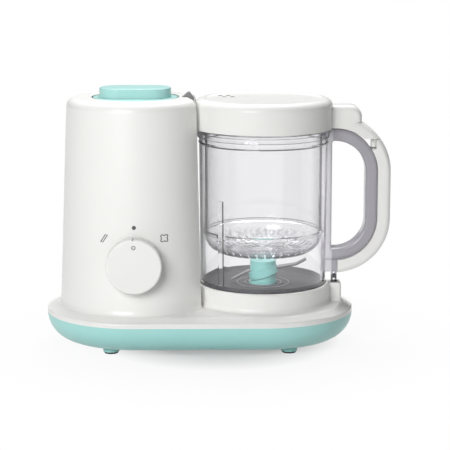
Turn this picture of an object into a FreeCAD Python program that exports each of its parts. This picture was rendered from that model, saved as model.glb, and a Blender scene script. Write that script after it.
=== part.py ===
import FreeCAD, Part
import math
import os
import re

import Sketcher
from FreeCAD import Placement, Rotation, Vector

doc = FreeCAD.newDocument("baby_food_maker")

# Every driving size, in millimetres or degrees. Heights are measured from the table.
sizes = {
    # base and feet
    "base_margin": 9.9,
    "base_depth": 23.5,
    "base_round": 23.0,
    "shell_wall": 2.5,
    "foot_height": 5.0,
    "foot_radius": 7.0,
    "foot_offset_x": 21.0,
    "foot_offset_y": 46.0,
    "pad_height": 1.6,
    "pad_inset": 0.8,
    "pad_peg_radius": 2.5,
    "screw_offset_x": 35.5,
    "screw_offset_y": 48.0,
    "screw_boss_radius": 6.2,
    "screw_pocket_radius": 4.0,
    "screw_head_level": 14.0,
    "screw_head_radius": 3.4,
    "screw_head_height": 2.2,
    "screw_radius": 1.5,
    "screw_length": 22.0,
    "vent_length": 36.0,
    "vent_width": 3.0,
    "vent_pitch": 8.0,
    "gland_level": 18.5,
    "gland_radius": 6.5,
    "gland_flange_radius": 8.2,
    "gland_flange_depth": 3.0,
    "gland_inner_end": 61.5,
    "gland_inset": 0.5,
    "cord_radius": 3.4,
    # deck, tower and collar
    "rim_height": 4.5,
    "deck_rise": 3.5,
    "deck_step": 2.2,
    "deck_slope_run": 6.8,
    "deck_blend": 8.0,
    "tower_rise": 179.5,
    "tower_foot_radius": 66.8,
    "tower_top_radius": 59.4,
    "tower_shoulder": 8.0,
    "nest_gap": 4.5,
    "nest_edge_round": 2.0,
    "collar_rise": 16.5,
    "collar_wall": 3.0,
    "collar_blend": 4.5,
    "collar_edge_round": 1.4,
    "seat_gap": 1.0,
    "seat_drop": 0.5,
    "boss_rise": 15.5,
    # latch post and interlock
    "post_wall": 3.0,
    "post_rise": 16.0,
    "post_width": 18.0,
    "post_round": 2.5,
    "latch_offset": 3.7,
    "latch_slot_length": 6.2,
    "latch_slot_width": 9.6,
    "latch_slot_depth": 11.0,
    "button_height": 4.4,
    "button_travel": 2.5,
    "button_stem_radius": 1.5,
    "switch_box_length": 20.0,
    "switch_box_width": 8.0,
    "switch_box_height": 9.0,
    "switch_leg_radius": 1.5,
    "switch_leg_offset": 7.0,
    # fits
    "running_gap": 0.05,
    "fit_gap": 0.3,
    "edge_ease": 1.0,
    "seal_ease": 0.5,
    # water tank and its cap
    "recess_radius": 38.0,
    "recess_depth": 6.0,
    "tank_radius": 34.0,
    "tank_wall": 2.0,
    "tank_floor_level": 118.0,
    "tank_flange_radius": 38.0,
    "tank_flange_height": 2.0,
    "tank_neck_radius": 32.5,
    "tank_neck_bore": 29.5,
    "gasket_height": 1.3,
    "filler_ring_width": 4.0,
    "filler_ring_height": 3.4,
    "heater_radius": 30.0,
    "heater_height": 6.0,
    "thermostat_radius": 8.0,
    "thermostat_height": 12.0,
    "cap_gap": 0.8,
    "cap_sink": 0.2,
    "cap_disc_height": 1.9,
    "cap_grip_length": 62.0,
    "cap_grip_width": 36.0,
    "cap_grip_height": 8.5,
    "cap_grip_round": 1.3,
    "cap_plug_radius": 26.0,
    "cap_plug_depth": 10.5,
    "cap_plug_lip": 2.4,
    "cap_seal_height": 3.5,
    # steam outlet
    "nozzle_width": 11.0,
    "nozzle_tail_width": 5.7,
    "nozzle_rise": 4.7,
    "nozzle_depth": 11.0,
    "nozzle_tail": 11.0,
    "nozzle_lip": 1.5,
    "nozzle_round": 1.6,
    "tube_rise": 3.5,
    "tube_depth": 2.5,
    "nozzle_overhang": 5.9,
    "steam_tube_radius": 2.4,
    "steam_tube_bore": 1.6,
    # control knob
    "knob_level": 81.3,
    "knob_radius": 23.5,
    "knob_face": 78.0,
    "knob_wall": 2.3,
    "knob_edge_round": 1.6,
    "knob_dimple_radius": 1.9,
    "knob_dimple_offset": 16.6,
    "knob_dimple_depth": 0.7,
    "knob_notch_width": 2.4,
    "knob_notch_depth": 1.3,
    "knob_seat_radius": 18.0,
    "knob_seat_rise": 0.8,
    "knob_shaft_radius": 3.0,
    "knob_socket_wall": 3.5,
    "knob_crown": 3.0,
    "knob_sheet": 3.7,
    "switch_radius": 14.0,
    "switch_depth": 14.0,
    "switch_bush_radius": 4.9,
    "switch_nut_radius": 7.6,
    "switch_nut_height": 2.6,
    "switch_inset": 7.0,
    "switch_floor": 3.0,
    "switch_bush_stub": 0.5,
    # motor
    "motor_radius": 26.0,
    "motor_height": 50.0,
    "motor_bore": 17.5,
    "motor_end_wall": 3.0,
    "motor_round": 2.5,
    "motor_bush_radius": 6.0,
    "motor_shaft_radius": 3.0,
    "rotor_gap": 0.7,
    "bracket_level": 40.0,
    "bracket_sheet": 2.0,
    "bracket_length": 80.0,
    "bracket_width": 64.0,
    "bracket_hole_radius": 13.0,
    "motor_post_x": 34.0,
    "motor_post_y": 26.0,
    "motor_post_radius": 4.5,
    "motor_screw_length": 14.0,
    # belt drive
    "pulley_level": 9.0,
    "shaft_stub": 0.4,
    "pulley_flange": 0.8,
    "pulley_flange_lip": 2.0,
    "belt_width": 5.4,
    "belt_thickness": 1.5,
    "motor_pulley_radius": 10.0,
    "drive_pulley_radius": 20.0,
    "spindle_radius": 4.0,
    "bearing_radius": 11.0,
    "bearing_height": 7.0,
    "bearing_spacing": 8.5,
    "bearing_wall": 2.5,
    "clip_radius": 7.4,
    "clip_sheet": 0.8,
    "seal_radius": 9.0,
    "coupling_radius": 11.0,
    "coupling_sheet": 2.0,
    "coupling_gap": 0.9,
    "dog_gap": 0.5,
    "dog_height": 3.4,
    "dog_inner": 5.5,
    "dog_width": 4.6,
    # jar
    "jar_foot_radius": 54.8,
    "jar_top_radius": 56.0,
    "jar_wall": 2.0,
    "jar_foot_gap": 0.5,
    "jar_foot_depth": 5.0,
    "jar_ledge_radius": 40.0,
    "jar_ledge_height": 2.5,
    "jar_band_lip": 1.8,
    "jar_band_height": 8.0,
    "jar_band_bevel": 0.6,
    "jar_band_round": 0.8,
    "jar_band_step": 0.2,
    "jar_bead": 0.7,
    "jar_bead_drop": 2.6,
    "jar_neck_step": 1.0,
    "jar_neck_rise": 8.0,
    "jar_shelf_drop": 4.0,
    "jar_neck_wall": 1.6,
    "rib_depth": 1.6,
    "rib_width": 5.0,
    "rib_root": 0.6,
    "rib_top": 130.0,
    "rib_turn": -15.0,
    "rib_spread": 240.0,
    # handle
    "cover_thickness": 11.4,
    "handle_opening": 2.5,
    "handle_low": 110.2,
    "frame_head_drop": 0.7,
    "window_corner_round": 2.0,
    "frame_thickness": 10.5,
    "handle_window_radius": 26.7,
    "handle_frame_width": 19.0,
    "handle_cover_width": 23.0,
    "handle_edge_round": 4.5,
    "handle_frame_round": 3.0,
    "spine_depth": 3.5,
    "spine_foot_rise": 9.5,
    "cover_top_rise": 28.4,
    "latch_notch_inset": 6.5,
    "latch_notch_width": 5.0,
    "latch_notch_depth": 8.5,
    "prong_leg": 1.3,
    "prong_bar_rise": 3.5,
    "prong_bar_height": 2.5,
    # lid
    "lid_drop": 1.0,
    "lid_height": 26.0,
    "lid_wall": 2.5,
    "lid_draft": 0.2,
    "lid_edge_round": 7.0,
    "lid_dish_inset": 3.4,
    "lid_dish_depth": 0.8,
    "lid_skirt_gap": 1.2,
    "lid_skirt_wall": 1.9,
    "lid_skirt_drop": 18.0,
    "lid_seal_height": 2.5,
    "lid_vent_radius": 1.7,
    "lid_vent_reach": 37.0,
    "lid_vent_turn": 150.0,
    "lid_vent_spread": 3.5,
    "lid_vent_rows": 5.0,
    "lid_port_radius": 3.2,
    "lid_port_drop": 7.0,
    "arm_gap": 1.2,
    "arm_root": 6.0,
    "arm_thumb_length": 24.8,
    "arm_thumb_drop": 6.0,
    "arm_thumb_step": 14.0,
    "arm_thumb_round": 10.0,
    "arm_end_gap": 0.6,
    "arm_prong_clearance": 0.9,
    "arm_prong_width": 7.0,
    # steam basket
    "basket_gap": 1.2,
    "basket_wall": 1.5,
    "basket_flange_gap": 0.4,
    "basket_flange_height": 1.9,
    "basket_floor_level": 79.6,
    "basket_bowl_round": 17.0,
    "basket_slot_inner": 27.0,
    "basket_slot_length": 18.0,
    "basket_slot_width": 1.9,
    "basket_inner_slot": 11.0,
    "basket_inner_slot_length": 12.0,
    # blade assembly
    "blade_base_gap": 0.3,
    "blade_seal_height": 1.5,
    "blade_base_edge": 56.4,
    "blade_floor_level": 51.5,
    "blade_floor_sheet": 3.0,
    "blade_dish_run": 6.0,
    "blade_dish_rise": 1.6,
    "blade_dish_round": 6.0,
    "blade_lip": 0.8,
    "blade_ridge_radius": 16.0,
    "blade_ridge_height": 0.9,
    "blade_ridge_half": 1.2,
    "blade_ridge_step": 7.0,
    "blade_tube_wall": 3.2,
    "lock_ring_radius": 47.5,
    "lock_ring_height": 3.4,
    "blade_boss_radius": 9.0,
    "blade_bush_radius": 5.5,
    "blade_bush_height": 5.5,
    "blade_spindle_radius": 3.0,
    "hub_radius": 11.4,
    "hub_height": 20.2,
    "hub_bore_depth": 18.2,
    "hub_foot_radius": 12.4,
    "hub_foot_height": 2.2,
    "hub_band_radius": 13.2,
    "hub_band_height": 7.0,
    "hub_band_turn": 17.0,
    "hub_band_rise": 10.0,
    "hub_groove_depth": 1.5,
    "hub_groove_height": 1.2,
    "blade_reach": 38.5,
    "blade_tail": 28.0,
    "blade_tail_rise": 2.2,
    "blade_bend_gap": 1.0,
    "blade_sheet": 1.4,
    "blade_width": 11.0,
    "blade_waist": 0.3,
    "blade_point": 0.5,
    "blade_root_rise": 11.0,
    "blade_turn": 8.0,
    "blade_tip_length": 9.0,
    "blade_tip_rise": 3.2,
    # control board
    "board_offset": 46.0,
    "board_sheet": 1.6,
    "board_width": 54.0,
    "board_height": 60.0,
    "board_level": 50.0,
    "board_post_radius": 3.5,
}

# Levels, radii and places that follow from the driving sizes.
derived = {
    "jar_band_radius": "jar_top_radius + jar_band_lip",
    "jar_neck_radius": "jar_top_radius + jar_neck_step",
    "jar_bore": "jar_neck_radius - jar_neck_wall",
    "lid_bore": "jar_neck_radius + fit_gap",
    "lid_radius": "lid_bore + lid_draft + lid_wall",
    "lid_skirt_radius": "jar_bore - lid_skirt_gap",
    "basket_radius": "jar_top_radius - jar_wall - rib_depth - basket_gap",
    "basket_flange_radius": "jar_bore - basket_flange_gap",
    "nest_radius": "lid_radius + nest_gap",
    "nest_x": "tank_flange_radius + fit_gap + nozzle_tail_width + shell_wall",
    "axis_spacing": "nest_x + nest_radius",
    "spine_reach": "jar_top_radius + spine_depth",
    "handle_centre": "spine_reach + handle_opening",
    "seat_radius": "jar_foot_radius + seat_gap",
    "collar_radius": "seat_radius + collar_wall",
    "latch_centre": "collar_radius + latch_offset",
    "post_reach": "latch_centre + latch_slot_length / 2 + post_wall",
    "base_end_radius": "post_reach + base_margin",
    "handle_frame_radius": "handle_window_radius + frame_thickness",
    "handle_reach": "handle_centre + handle_frame_radius + cover_thickness",
    "tower_x": "(base_end_radius - axis_spacing - handle_reach) / 2",
    "jar_x": "(base_end_radius + axis_spacing - handle_reach) / 2",
    "rim_level": "foot_height + base_depth",
    "deck_level": "rim_level + rim_height + deck_rise",
    "floor_under": "deck_level - shell_wall",
    "seat_under": "floor_under - seat_drop",
    "collar_level": "deck_level + collar_rise",
    "top_level": "deck_level + tower_rise",
    "post_level": "deck_level + post_rise",
    "slot_floor": "post_level - latch_slot_depth",
    "button_foot": "slot_floor + button_travel + fit_gap",
    "recess_floor": "top_level - recess_depth",
    "pot_under": "recess_floor - shell_wall",
    "tank_rim": "recess_floor + filler_ring_height",
    "tank_flange_top": "pot_under - gasket_height",
    "tube_level": "top_level - nozzle_depth - nozzle_tail + tube_rise",
    "cap_top": "top_level - cap_sink",
    "cap_under": "cap_top - cap_disc_height",
    "plug_seal_top": "cap_under - cap_plug_depth + cap_plug_lip + cap_seal_height + 2 * fit_gap",
    "tower_slope": "(tower_foot_radius - tower_top_radius) / tower_rise",
    "knob_front": "tower_foot_radius - tower_slope * (knob_level - deck_level)",
    "knob_seat": "knob_front + knob_seat_rise",
    "knob_back": "knob_seat + 2 * fit_gap",
    "switch_seat": "knob_front - switch_inset",
    "switch_back": "switch_seat - switch_depth",
    "switch_bush_end": "knob_seat + switch_nut_height + switch_bush_stub",
    "knob_shaft_end": "knob_face - knob_crown",
    "motor_level": "bracket_level + bracket_sheet",
    "motor_top": "motor_level + motor_height",
    "belt_level": "pulley_level + pulley_flange + fit_gap",
    "pulley_top": "pulley_level + 2 * pulley_flange + belt_width + 2 * fit_gap",
    "bearing_level": "seat_under - bearing_height - bearing_spacing",
    "bearing_end": "bearing_level + bearing_spacing + bearing_height",
    "coupling_level": "deck_level + coupling_gap",
    "dog_root": "coupling_level + coupling_sheet",
    "driven_level": "dog_root + dog_height + dog_gap",
    "jar_foot": "deck_level + jar_foot_gap",
    "jar_ledge": "jar_foot + jar_foot_depth + jar_ledge_height",
    "lid_top": "top_level - lid_drop",
    "lid_level": "lid_top - lid_height",
    "band_level": "lid_level - jar_band_height",
    "jar_slope": "(jar_top_radius - jar_foot_radius) / (band_level - jar_foot)",
    "jar_rim": "lid_level + jar_neck_rise",
    "jar_shelf": "lid_level - jar_shelf_drop",
    "jar_inner_foot": "jar_foot_radius - jar_wall",
    "rib_foot": "blade_base_edge + fit_gap",
    "spine_foot_level": "post_level + spine_foot_rise",
    "handle_high": "frame_head - handle_frame_radius",
    "handle_foot": "handle_low - (handle_reach - handle_centre)",
    "handle_head": "handle_high + (handle_reach - handle_centre)",
    "frame_reach": "handle_centre + handle_frame_radius",
    "frame_foot": "handle_low - handle_frame_radius",
    "frame_head": "lid_level - frame_head_drop",
    "cover_foot": "latch_centre + latch_slot_length / 2 - 2 * fit_gap",
    "cover_top_level": "handle_high + cover_top_rise",
    "latch_notch_left": "frame_reach - latch_notch_inset",
    "arm_thumb_reach": "lid_radius + arm_thumb_length",
    "lid_under": "lid_top - lid_dish_depth - lid_wall",
    "lid_seal_foot": "jar_rim + fit_gap",
    "lid_seal_seat": "lid_seal_foot + lid_seal_height + fit_gap",
    "blade_base_radius": "jar_foot_radius - jar_wall + jar_slope * (jar_ledge - jar_foot) - blade_base_gap",
    "blade_base_foot": "jar_ledge + blade_seal_height",
    "blade_tube_foot": "jar_ledge - jar_ledge_height - lock_ring_height",
    "blade_tube_radius": "jar_ledge_radius - blade_base_gap",
    "hub_level": "blade_floor_level + fit_gap",
    "blade_bend": "hub_band_radius + blade_bend_gap",
    "hub_slot_reach": "2 * hub_band_radius",
    "bush_level": "hub_level - fit_gap - blade_bush_height",
}

sheet = doc.addObject("Spreadsheet::Sheet", "dims")
for row, (alias, number) in enumerate(sizes.items(), start=1):
    sheet.set(f"A{row}", alias)
    sheet.set(f"B{row}", str(number))
    sheet.setAlias(f"B{row}", alias)
doc.recompute()

nodes = []


def bound(text):
    def cell(match):
        word = match[0]
        if word in sizes:
            return f"dims.{word}"
        if word in derived:
            return f"({bound(derived[word])})"
        return word

    return re.sub(r"[A-Za-z_]\w*", cell, text)


def amount(text):
    return float(sheet.evalExpression(bound(text)))


def bind(item, **expressions):
    for name, text in expressions.items():
        item.setExpression(name, bound(text))


def place(item, x="0", y="0", z="0", turn=None):
    if turn:
        item.Placement = Placement(Vector(), turn)
    for axis, text in zip("xyz", (x, y, z)):
        if text != "0":
            item.setExpression(f"Placement.Base.{axis}", bound(text))


def node(item, label):
    item.Label = label
    nodes.append(item)
    return item


# Sketches: a closed outline whose corners, and the rounds at its corners, are bound to the sizes.
def fix_point(sketch, geometry, position, x, y):
    for kind, text, axis in (("DistanceX", x, -2), ("DistanceY", y, -1)):
        if text == "0":
            sketch.addConstraint(Sketcher.Constraint("PointOnObject", geometry, position, axis))
            continue
        rule = Sketcher.Constraint(kind, -1, 1, geometry, position, amount(text))
        index = sketch.addConstraint(rule)
        sketch.setExpression(f"Constraints[{index}]", bound(text))


def outline(sketch, corners, rounds=None):
    rounds = rounds or {}
    count = len(corners)
    points = [Vector(amount(x), amount(y), 0) for x, y in corners]
    entries = list(points)
    exits = list(points)
    arcs = {}
    for number, text in rounds.items():
        corner = points[number]
        back = (points[number - 1] - corner).normalize()
        ahead = (points[(number + 1) % count] - corner).normalize()
        half = back.getAngle(ahead) / 2
        radius = amount(text)
        entries[number] = corner + back * (radius / math.tan(half))
        exits[number] = corner + ahead * (radius / math.tan(half))
        centre = corner + (back + ahead).normalize() * (radius / math.sin(half))
        left_turn = back.cross(ahead).z < 0
        first, last = (entries[number], exits[number]) if left_turn else (exits[number], entries[number])
        start = math.atan2(first.y - centre.y, first.x - centre.x)
        end = math.atan2(last.y - centre.y, last.x - centre.x)
        arcs[number] = (Part.Circle(centre, Vector(0, 0, 1), radius), start, end, left_turn)
    lines = []
    for number in range(count):
        line = Part.LineSegment(exits[number], entries[(number + 1) % count])
        lines.append(sketch.addGeometry(line))
    for number in range(count):
        before = lines[number - 1]
        after = lines[number]
        if number not in arcs:
            sketch.addConstraint(Sketcher.Constraint("Coincident", before, 2, after, 1))
            fix_point(sketch, after, 1, *corners[number])
            continue
        circle, start, end, left_turn = arcs[number]
        arc = sketch.addGeometry(Part.ArcOfCircle(circle, start, end))
        entry, leave = (1, 2) if left_turn else (2, 1)
        sketch.addConstraint(Sketcher.Constraint("Tangent", before, 2, arc, entry))
        sketch.addConstraint(Sketcher.Constraint("Tangent", arc, leave, after, 1))
        index = sketch.addConstraint(Sketcher.Constraint("Radius", arc, circle.Radius))
        sketch.setExpression(f"Constraints[{index}]", bound(rounds[number]))
        point = sketch.addGeometry(Part.Point(points[number]), True)
        sketch.addConstraint(Sketcher.Constraint("PointOnObject", point, 1, before))
        sketch.addConstraint(Sketcher.Constraint("PointOnObject", point, 1, after))
        fix_point(sketch, point, 1, *corners[number])


def circle(sketch, x, y, radius):
    ring = sketch.addGeometry(Part.Circle(Vector(amount(x), amount(y), 0), Vector(0, 0, 1), amount(radius)))
    fix_point(sketch, ring, 3, x, y)
    index = sketch.addConstraint(Sketcher.Constraint("Radius", ring, amount(radius)))
    sketch.setExpression(f"Constraints[{index}]", bound(radius))


def rectangle(x_low, x_high, y_low, y_high):
    return [(x_low, y_low), (x_high, y_low), (x_high, y_high), (x_low, y_high)]


# Bodies: turned about their own upright axis, or padded from an outline.
def new_body(label, x="0", y="0", z="0", turn=None):
    body = doc.addObject("PartDesign::Body", label)
    place(body, x, y, z, turn)
    return node(body, label)


def sketch_on(body, role, name, level=None):
    sketch = body.newObject("Sketcher::SketchObject", name)
    plane = next(item for item in body.Origin.OriginFeatures if item.Role == role)
    sketch.AttachmentSupport = [(plane, "")]
    sketch.MapMode = "FlatFace"
    if level:
        sketch.setExpression("AttachmentOffset.Base.z", bound(level))
    return sketch


def turned(label, x, corners, rounds=None, turn=None, z="0"):
    body = new_body(label, x, z=z, turn=turn)
    sketch = sketch_on(body, "XZ_Plane", f"{label}_profile")
    outline(sketch, corners, rounds)
    feature = body.newObject("PartDesign::Revolution", f"{label}_turned")
    feature.Profile = sketch
    feature.ReferenceAxis = (sketch, ["V_Axis"])
    feature.Angle = 360
    return body


def pad(body, sketch, length, both_ways=False):
    feature = body.newObject("PartDesign::Pad", f"{sketch.Name}_pad")
    feature.Profile = sketch
    feature.Midplane = both_ways
    bind(feature, Length=length)
    return feature


def pocket(body, sketch, length, upward=False):
    feature = body.newObject("PartDesign::Pocket", f"{sketch.Name}_pocket")
    feature.Profile = sketch
    feature.Reversed = upward
    bind(feature, Length=length)
    return feature


def repeat_round(body, feature, count):
    axis = next(item for item in body.Origin.OriginFeatures if item.Role == "Z_Axis")
    pattern = body.newObject("PartDesign::PolarPattern", f"{feature.Name}_round")
    pattern.Originals = [feature]
    pattern.Axis = (axis, [""])
    pattern.Angle = 360
    pattern.Occurrences = count
    body.Tip = pattern
    return pattern


# Loose solids and the booleans that join them.
def cylinder(name, radius, height, x="0", y="0", z="0", turn=None):
    item = doc.addObject("Part::Cylinder", name)
    bind(item, Radius=radius, Height=height)
    place(item, x, y, z, turn)
    return item


def block(name, x_low, x_high, y_low, y_high, z_low, z_high):
    item = doc.addObject("Part::Box", name)
    bind(item, Length=f"({x_high}) - ({x_low})")
    bind(item, Width=f"({y_high}) - ({y_low})")
    bind(item, Height=f"({z_high}) - ({z_low})")
    place(item, x_low, y_low, z_low)
    return item


def fuse(name, *items):
    item = doc.addObject("Part::MultiFuse", name)
    item.Shapes = list(items)
    item.Refine = True
    return item


def common(name, *items):
    item = doc.addObject("Part::MultiCommon", name)
    item.Shapes = list(items)
    item.Refine = True
    return item


def cut(name, base, *tools):
    item = doc.addObject("Part::Cut", name)
    item.Base = base
    item.Tool = tools[0] if len(tools) == 1 else fuse(f"{name}_tools", *tools)
    item.Refine = True
    return item


def group(label, *items):
    item = doc.addObject("Part::Compound", label)
    item.Links = list(items)
    return node(item, label)


def rounded(name, base, radius, chosen):
    doc.recompute()
    item = doc.addObject("Part::Fillet", name)
    item.Base = base
    size = amount(radius)
    picked = [number for number, edge in enumerate(base.Shape.Edges, start=1) if chosen(edge)]
    item.Edges = [(number, size, size) for number in picked]
    return item


upright = Rotation(Vector(1, 0, 0), 90)
backward = Rotation(Vector(1, 0, 0), -90)
rightward = Rotation(Vector(0, 1, 0), 90)
rear_section = Rotation(Vector(0, 0, 1), 90) * upright
front_section = Rotation(Vector(0, 0, 1), -90) * upright


def free_sketch(name, corners, rounds=None, x="0", y="0", turn=upright):
    sketch = doc.addObject("Sketcher::SketchObject", name)
    place(sketch, x, y, turn=turn)
    outline(sketch, corners, rounds)
    return sketch


def revolved(name, corners, rounds, x, turn=upright, angle=360):
    item = doc.addObject("Part::Revolution", name)
    item.Source = free_sketch(f"{name}_profile", corners, rounds, x, turn=turn)
    item.Axis = Vector(0, 0, 1)
    item.Angle = angle
    item.Solid = True
    item.setExpression("Base.x", bound(x))
    return item


def extruded(name, sketch, direction, length, both_ways=False):
    item = doc.addObject("Part::Extrusion", name)
    item.Base = sketch
    item.DirMode = "Custom"
    item.Dir = direction
    item.Solid = True
    item.Symmetric = both_ways
    bind(item, LengthFwd=length)
    return item


def stadium(name, corners, rounds=None):
    ends = [
        revolved(f"{name}_left", corners, rounds, "tower_x", rear_section, 180),
        revolved(f"{name}_right", corners, rounds, "jar_x", front_section, 180),
    ]
    sides = []
    for side, section in (("front", front_section), ("rear", rear_section)):
        sketch = free_sketch(f"{name}_{side}_section", corners, rounds, "tower_x", turn=section)
        sides.append(extruded(f"{name}_{side}", sketch, Vector(1, 0, 0), "axis_spacing"))
    return fuse(name, *ends, *sides)


def corner_places(offset_x, offset_y):
    places = []
    for end, outward in (("tower_x", "-"), ("jar_x", "+")):
        for side in ("-", ""):
            places.append((f"{end} {outward} {offset_x}", f"{side}{offset_y}"))
    return places


# Base shell: a bowl with a stadium outline, foot cups, screw pockets, motor posts and vents.
base_form = stadium(
    "base_form",
    [
        ("0", "foot_height"),
        ("base_end_radius", "foot_height"),
        ("base_end_radius", "rim_level"),
        ("0", "rim_level"),
    ],
    {1: "base_round"},
)
base_hollow = stadium(
    "base_hollow",
    [
        ("0", "foot_height + shell_wall"),
        ("base_end_radius - shell_wall", "foot_height + shell_wall"),
        ("base_end_radius - shell_wall", "rim_level + shell_wall"),
        ("0", "rim_level + shell_wall"),
    ],
    {1: "base_round - shell_wall"},
)
foot_places = corner_places("foot_offset_x", "foot_offset_y")
screw_places = corner_places("screw_offset_x", "screw_offset_y")
post_places = [
    (f"tower_x {across} motor_post_x", f"{side}motor_post_y") for across in ("-", "+") for side in ("-", "")
]
foot_cups = []
base_bosses = []
base_holes = []
for number, (x, y) in enumerate(foot_places, start=1):
    foot_cups.append(cylinder(f"foot_cup_{number}", "foot_radius",
                              "foot_height - pad_height + shell_wall / 2", x, y, "pad_height"))
    base_holes.append(cylinder(f"foot_hole_{number}", "pad_peg_radius", "foot_height + 2 * shell_wall", x, y))
for number, (x, y) in enumerate(screw_places, start=1):
    base_bosses.append(cylinder(f"screw_boss_{number}", "screw_boss_radius", "rim_level", x, y))
    base_holes.append(cylinder(f"screw_pocket_{number}", "screw_pocket_radius", "screw_head_level", x, y))
    base_holes.append(cylinder(f"screw_hole_{number}", "screw_radius", "rim_level + 1", x, y))
post_form = []
for number, (x, y) in enumerate(post_places, start=1):
    post_form.append(cylinder(f"motor_post_{number}", "motor_post_radius", "bracket_level - foot_height - 1",
                              x, y, "foot_height + 1"))
    base_holes.append(cylinder(f"motor_post_hole_{number}", "screw_radius", "motor_screw_length",
                               x, y, "bracket_level - motor_screw_length + bracket_sheet"))
for number in range(-2, 3):
    base_holes.append(block(f"base_vent_{number + 3}",
                            "tower_x - vent_length / 2", "tower_x + vent_length / 2",
                            f"{number} * vent_pitch - vent_width / 2",
                            f"{number} * vent_pitch + vent_width / 2",
                            "foot_height - 1", "foot_height + shell_wall + 1"))
base_holes.append(cylinder("gland_hole", "gland_radius", "base_end_radius - gland_inner_end + 2",
                           "(tower_x + jar_x) / 2", "gland_inner_end", "gland_level", backward))
base_walls = cut("base_walls", base_form, base_hollow)
base_inside = common("base_inside", fuse("base_boss_form", *base_bosses), base_form)
base_solid = fuse("base_solid", base_walls, base_inside, *foot_cups, *post_form)
base_shell = node(cut("base_shell", base_solid, *base_holes), "base_shell")

# Soft foot pads, each with a peg through the floor of its cup.
pads = []
for number, (x, y) in enumerate(foot_places, start=1):
    disc = cylinder(f"pad_disc_{number}", "foot_radius - pad_inset", "pad_height", x, y)
    peg = cylinder(f"pad_peg_{number}", "pad_peg_radius", "foot_height + shell_wall - pad_height",
                   x, y, "pad_height")
    pads.append(fuse(f"foot_pad_{number}", disc, peg))
group("foot_pads", *pads)

# Screws that hold the base shell to the housing.
screws = []
for number, (x, y) in enumerate(screw_places, start=1):
    head = cylinder(f"base_screw_head_{number}", "screw_head_radius", "screw_head_height",
                    x, y, "screw_head_level - screw_head_height")
    shank = cylinder(f"base_screw_shank_{number}", "screw_radius", "screw_length", x, y, "screw_head_level")
    screws.append(fuse(f"base_screw_{number}", head, shank))
group("base_screws", *screws)

# Cord gland in the rear wall of the base.
turned(
    "cord_gland",
    "(tower_x + jar_x) / 2",
    [
        ("cord_radius", "gland_inner_end"),
        ("gland_flange_radius", "gland_inner_end"),
        ("gland_flange_radius", "gland_inner_end + gland_flange_depth"),
        ("gland_radius", "gland_inner_end + gland_flange_depth"),
        ("gland_radius", "base_end_radius - gland_inset"),
        ("cord_radius", "base_end_radius - gland_inset"),
    ],
    {4: "edge_ease"},
    backward,
    "gland_level",
)

# Main housing: deck, tower and jar collar moulded in one piece.
deck_form = stadium(
    "deck_form",
    [
        ("0", "rim_level"),
        ("base_end_radius", "rim_level"),
        ("base_end_radius", "rim_level + rim_height"),
        ("base_end_radius - deck_step", "rim_level + rim_height"),
        ("base_end_radius - deck_step - deck_slope_run", "deck_level"),
        ("0", "deck_level"),
    ],
    {2: "deck_step * 0.7", 4: "deck_blend"},
)
deck_hollow = stadium(
    "deck_hollow",
    [
        ("0", "rim_level - 1"),
        ("base_end_radius - shell_wall", "rim_level - 1"),
        ("base_end_radius - shell_wall", "rim_level + rim_height - shell_wall"),
        ("base_end_radius - deck_step - deck_slope_run - shell_wall", "floor_under"),
        ("0", "floor_under"),
    ],
)
tower_turned = revolved(
    "tower_turned",
    [
        ("0", "rim_level"),
        ("tower_foot_radius + deck_blend", "rim_level"),
        ("tower_foot_radius + deck_blend", "deck_level - deck_rise"),
        ("tower_foot_radius", "deck_level"),
        ("tower_top_radius", "top_level"),
        ("0", "top_level"),
    ],
    {3: "deck_blend", 4: "tower_shoulder"},
    "tower_x",
)
nest = cylinder("nest", "nest_radius", "top_level", "jar_x", "0", "rim_level - 1")
tower_cut = cut("tower_cut", tower_turned, nest)


def on_nest_edge(edge):
    reach = amount("nest_radius")
    middle = edge.valueAt((edge.FirstParameter + edge.LastParameter) / 2)
    spots = [vertex.Point for vertex in edge.Vertexes] + [middle]
    away = max(abs(math.hypot(spot.x - amount("jar_x"), spot.y) - reach) for spot in spots)
    return away < 0.01 and min(spot.z for spot in spots) > amount("rim_level") + 0.01


tower_form = rounded("tower_form", tower_cut, "nest_edge_round", on_nest_edge)
tower_inner = revolved(
    "tower_inner",
    [
        ("0", "rim_level - 1"),
        ("tower_foot_radius - shell_wall", "rim_level - 1"),
        ("tower_foot_radius - shell_wall", "deck_level"),
        ("tower_top_radius - shell_wall", "top_level - shell_wall"),
        ("0", "top_level - shell_wall"),
    ],
    {3: "tower_shoulder - shell_wall"},
    "tower_x",
)
nest_back = cylinder("nest_back", "nest_radius + shell_wall", "top_level", "jar_x", "0", "rim_level - 2")
tower_hollow = cut("tower_hollow", tower_inner, nest_back)
collar_form = revolved(
    "collar_form",
    [
        ("0", "seat_under"),
        ("collar_radius + 1.5 * collar_blend", "seat_under"),
        ("collar_radius + 1.5 * collar_blend", "deck_level - 2 * seat_drop"),
        ("collar_radius", "deck_level"),
        ("collar_radius", "collar_level"),
        ("0", "collar_level"),
    ],
    {3: "collar_blend", 4: "collar_edge_round"},
    "jar_x",
)
post_block = block("post_block", "jar_x + collar_radius - collar_wall", "jar_x + post_reach",
                   "-post_width / 2", "post_width / 2", "floor_under", "post_level")


def on_post_edge(edge):
    spots = [vertex.Point for vertex in edge.Vertexes]
    outer = min(spot.x for spot in spots) > amount("jar_x + post_reach") - 0.01
    return outer and max(spot.z for spot in spots) > amount("deck_level")


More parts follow.
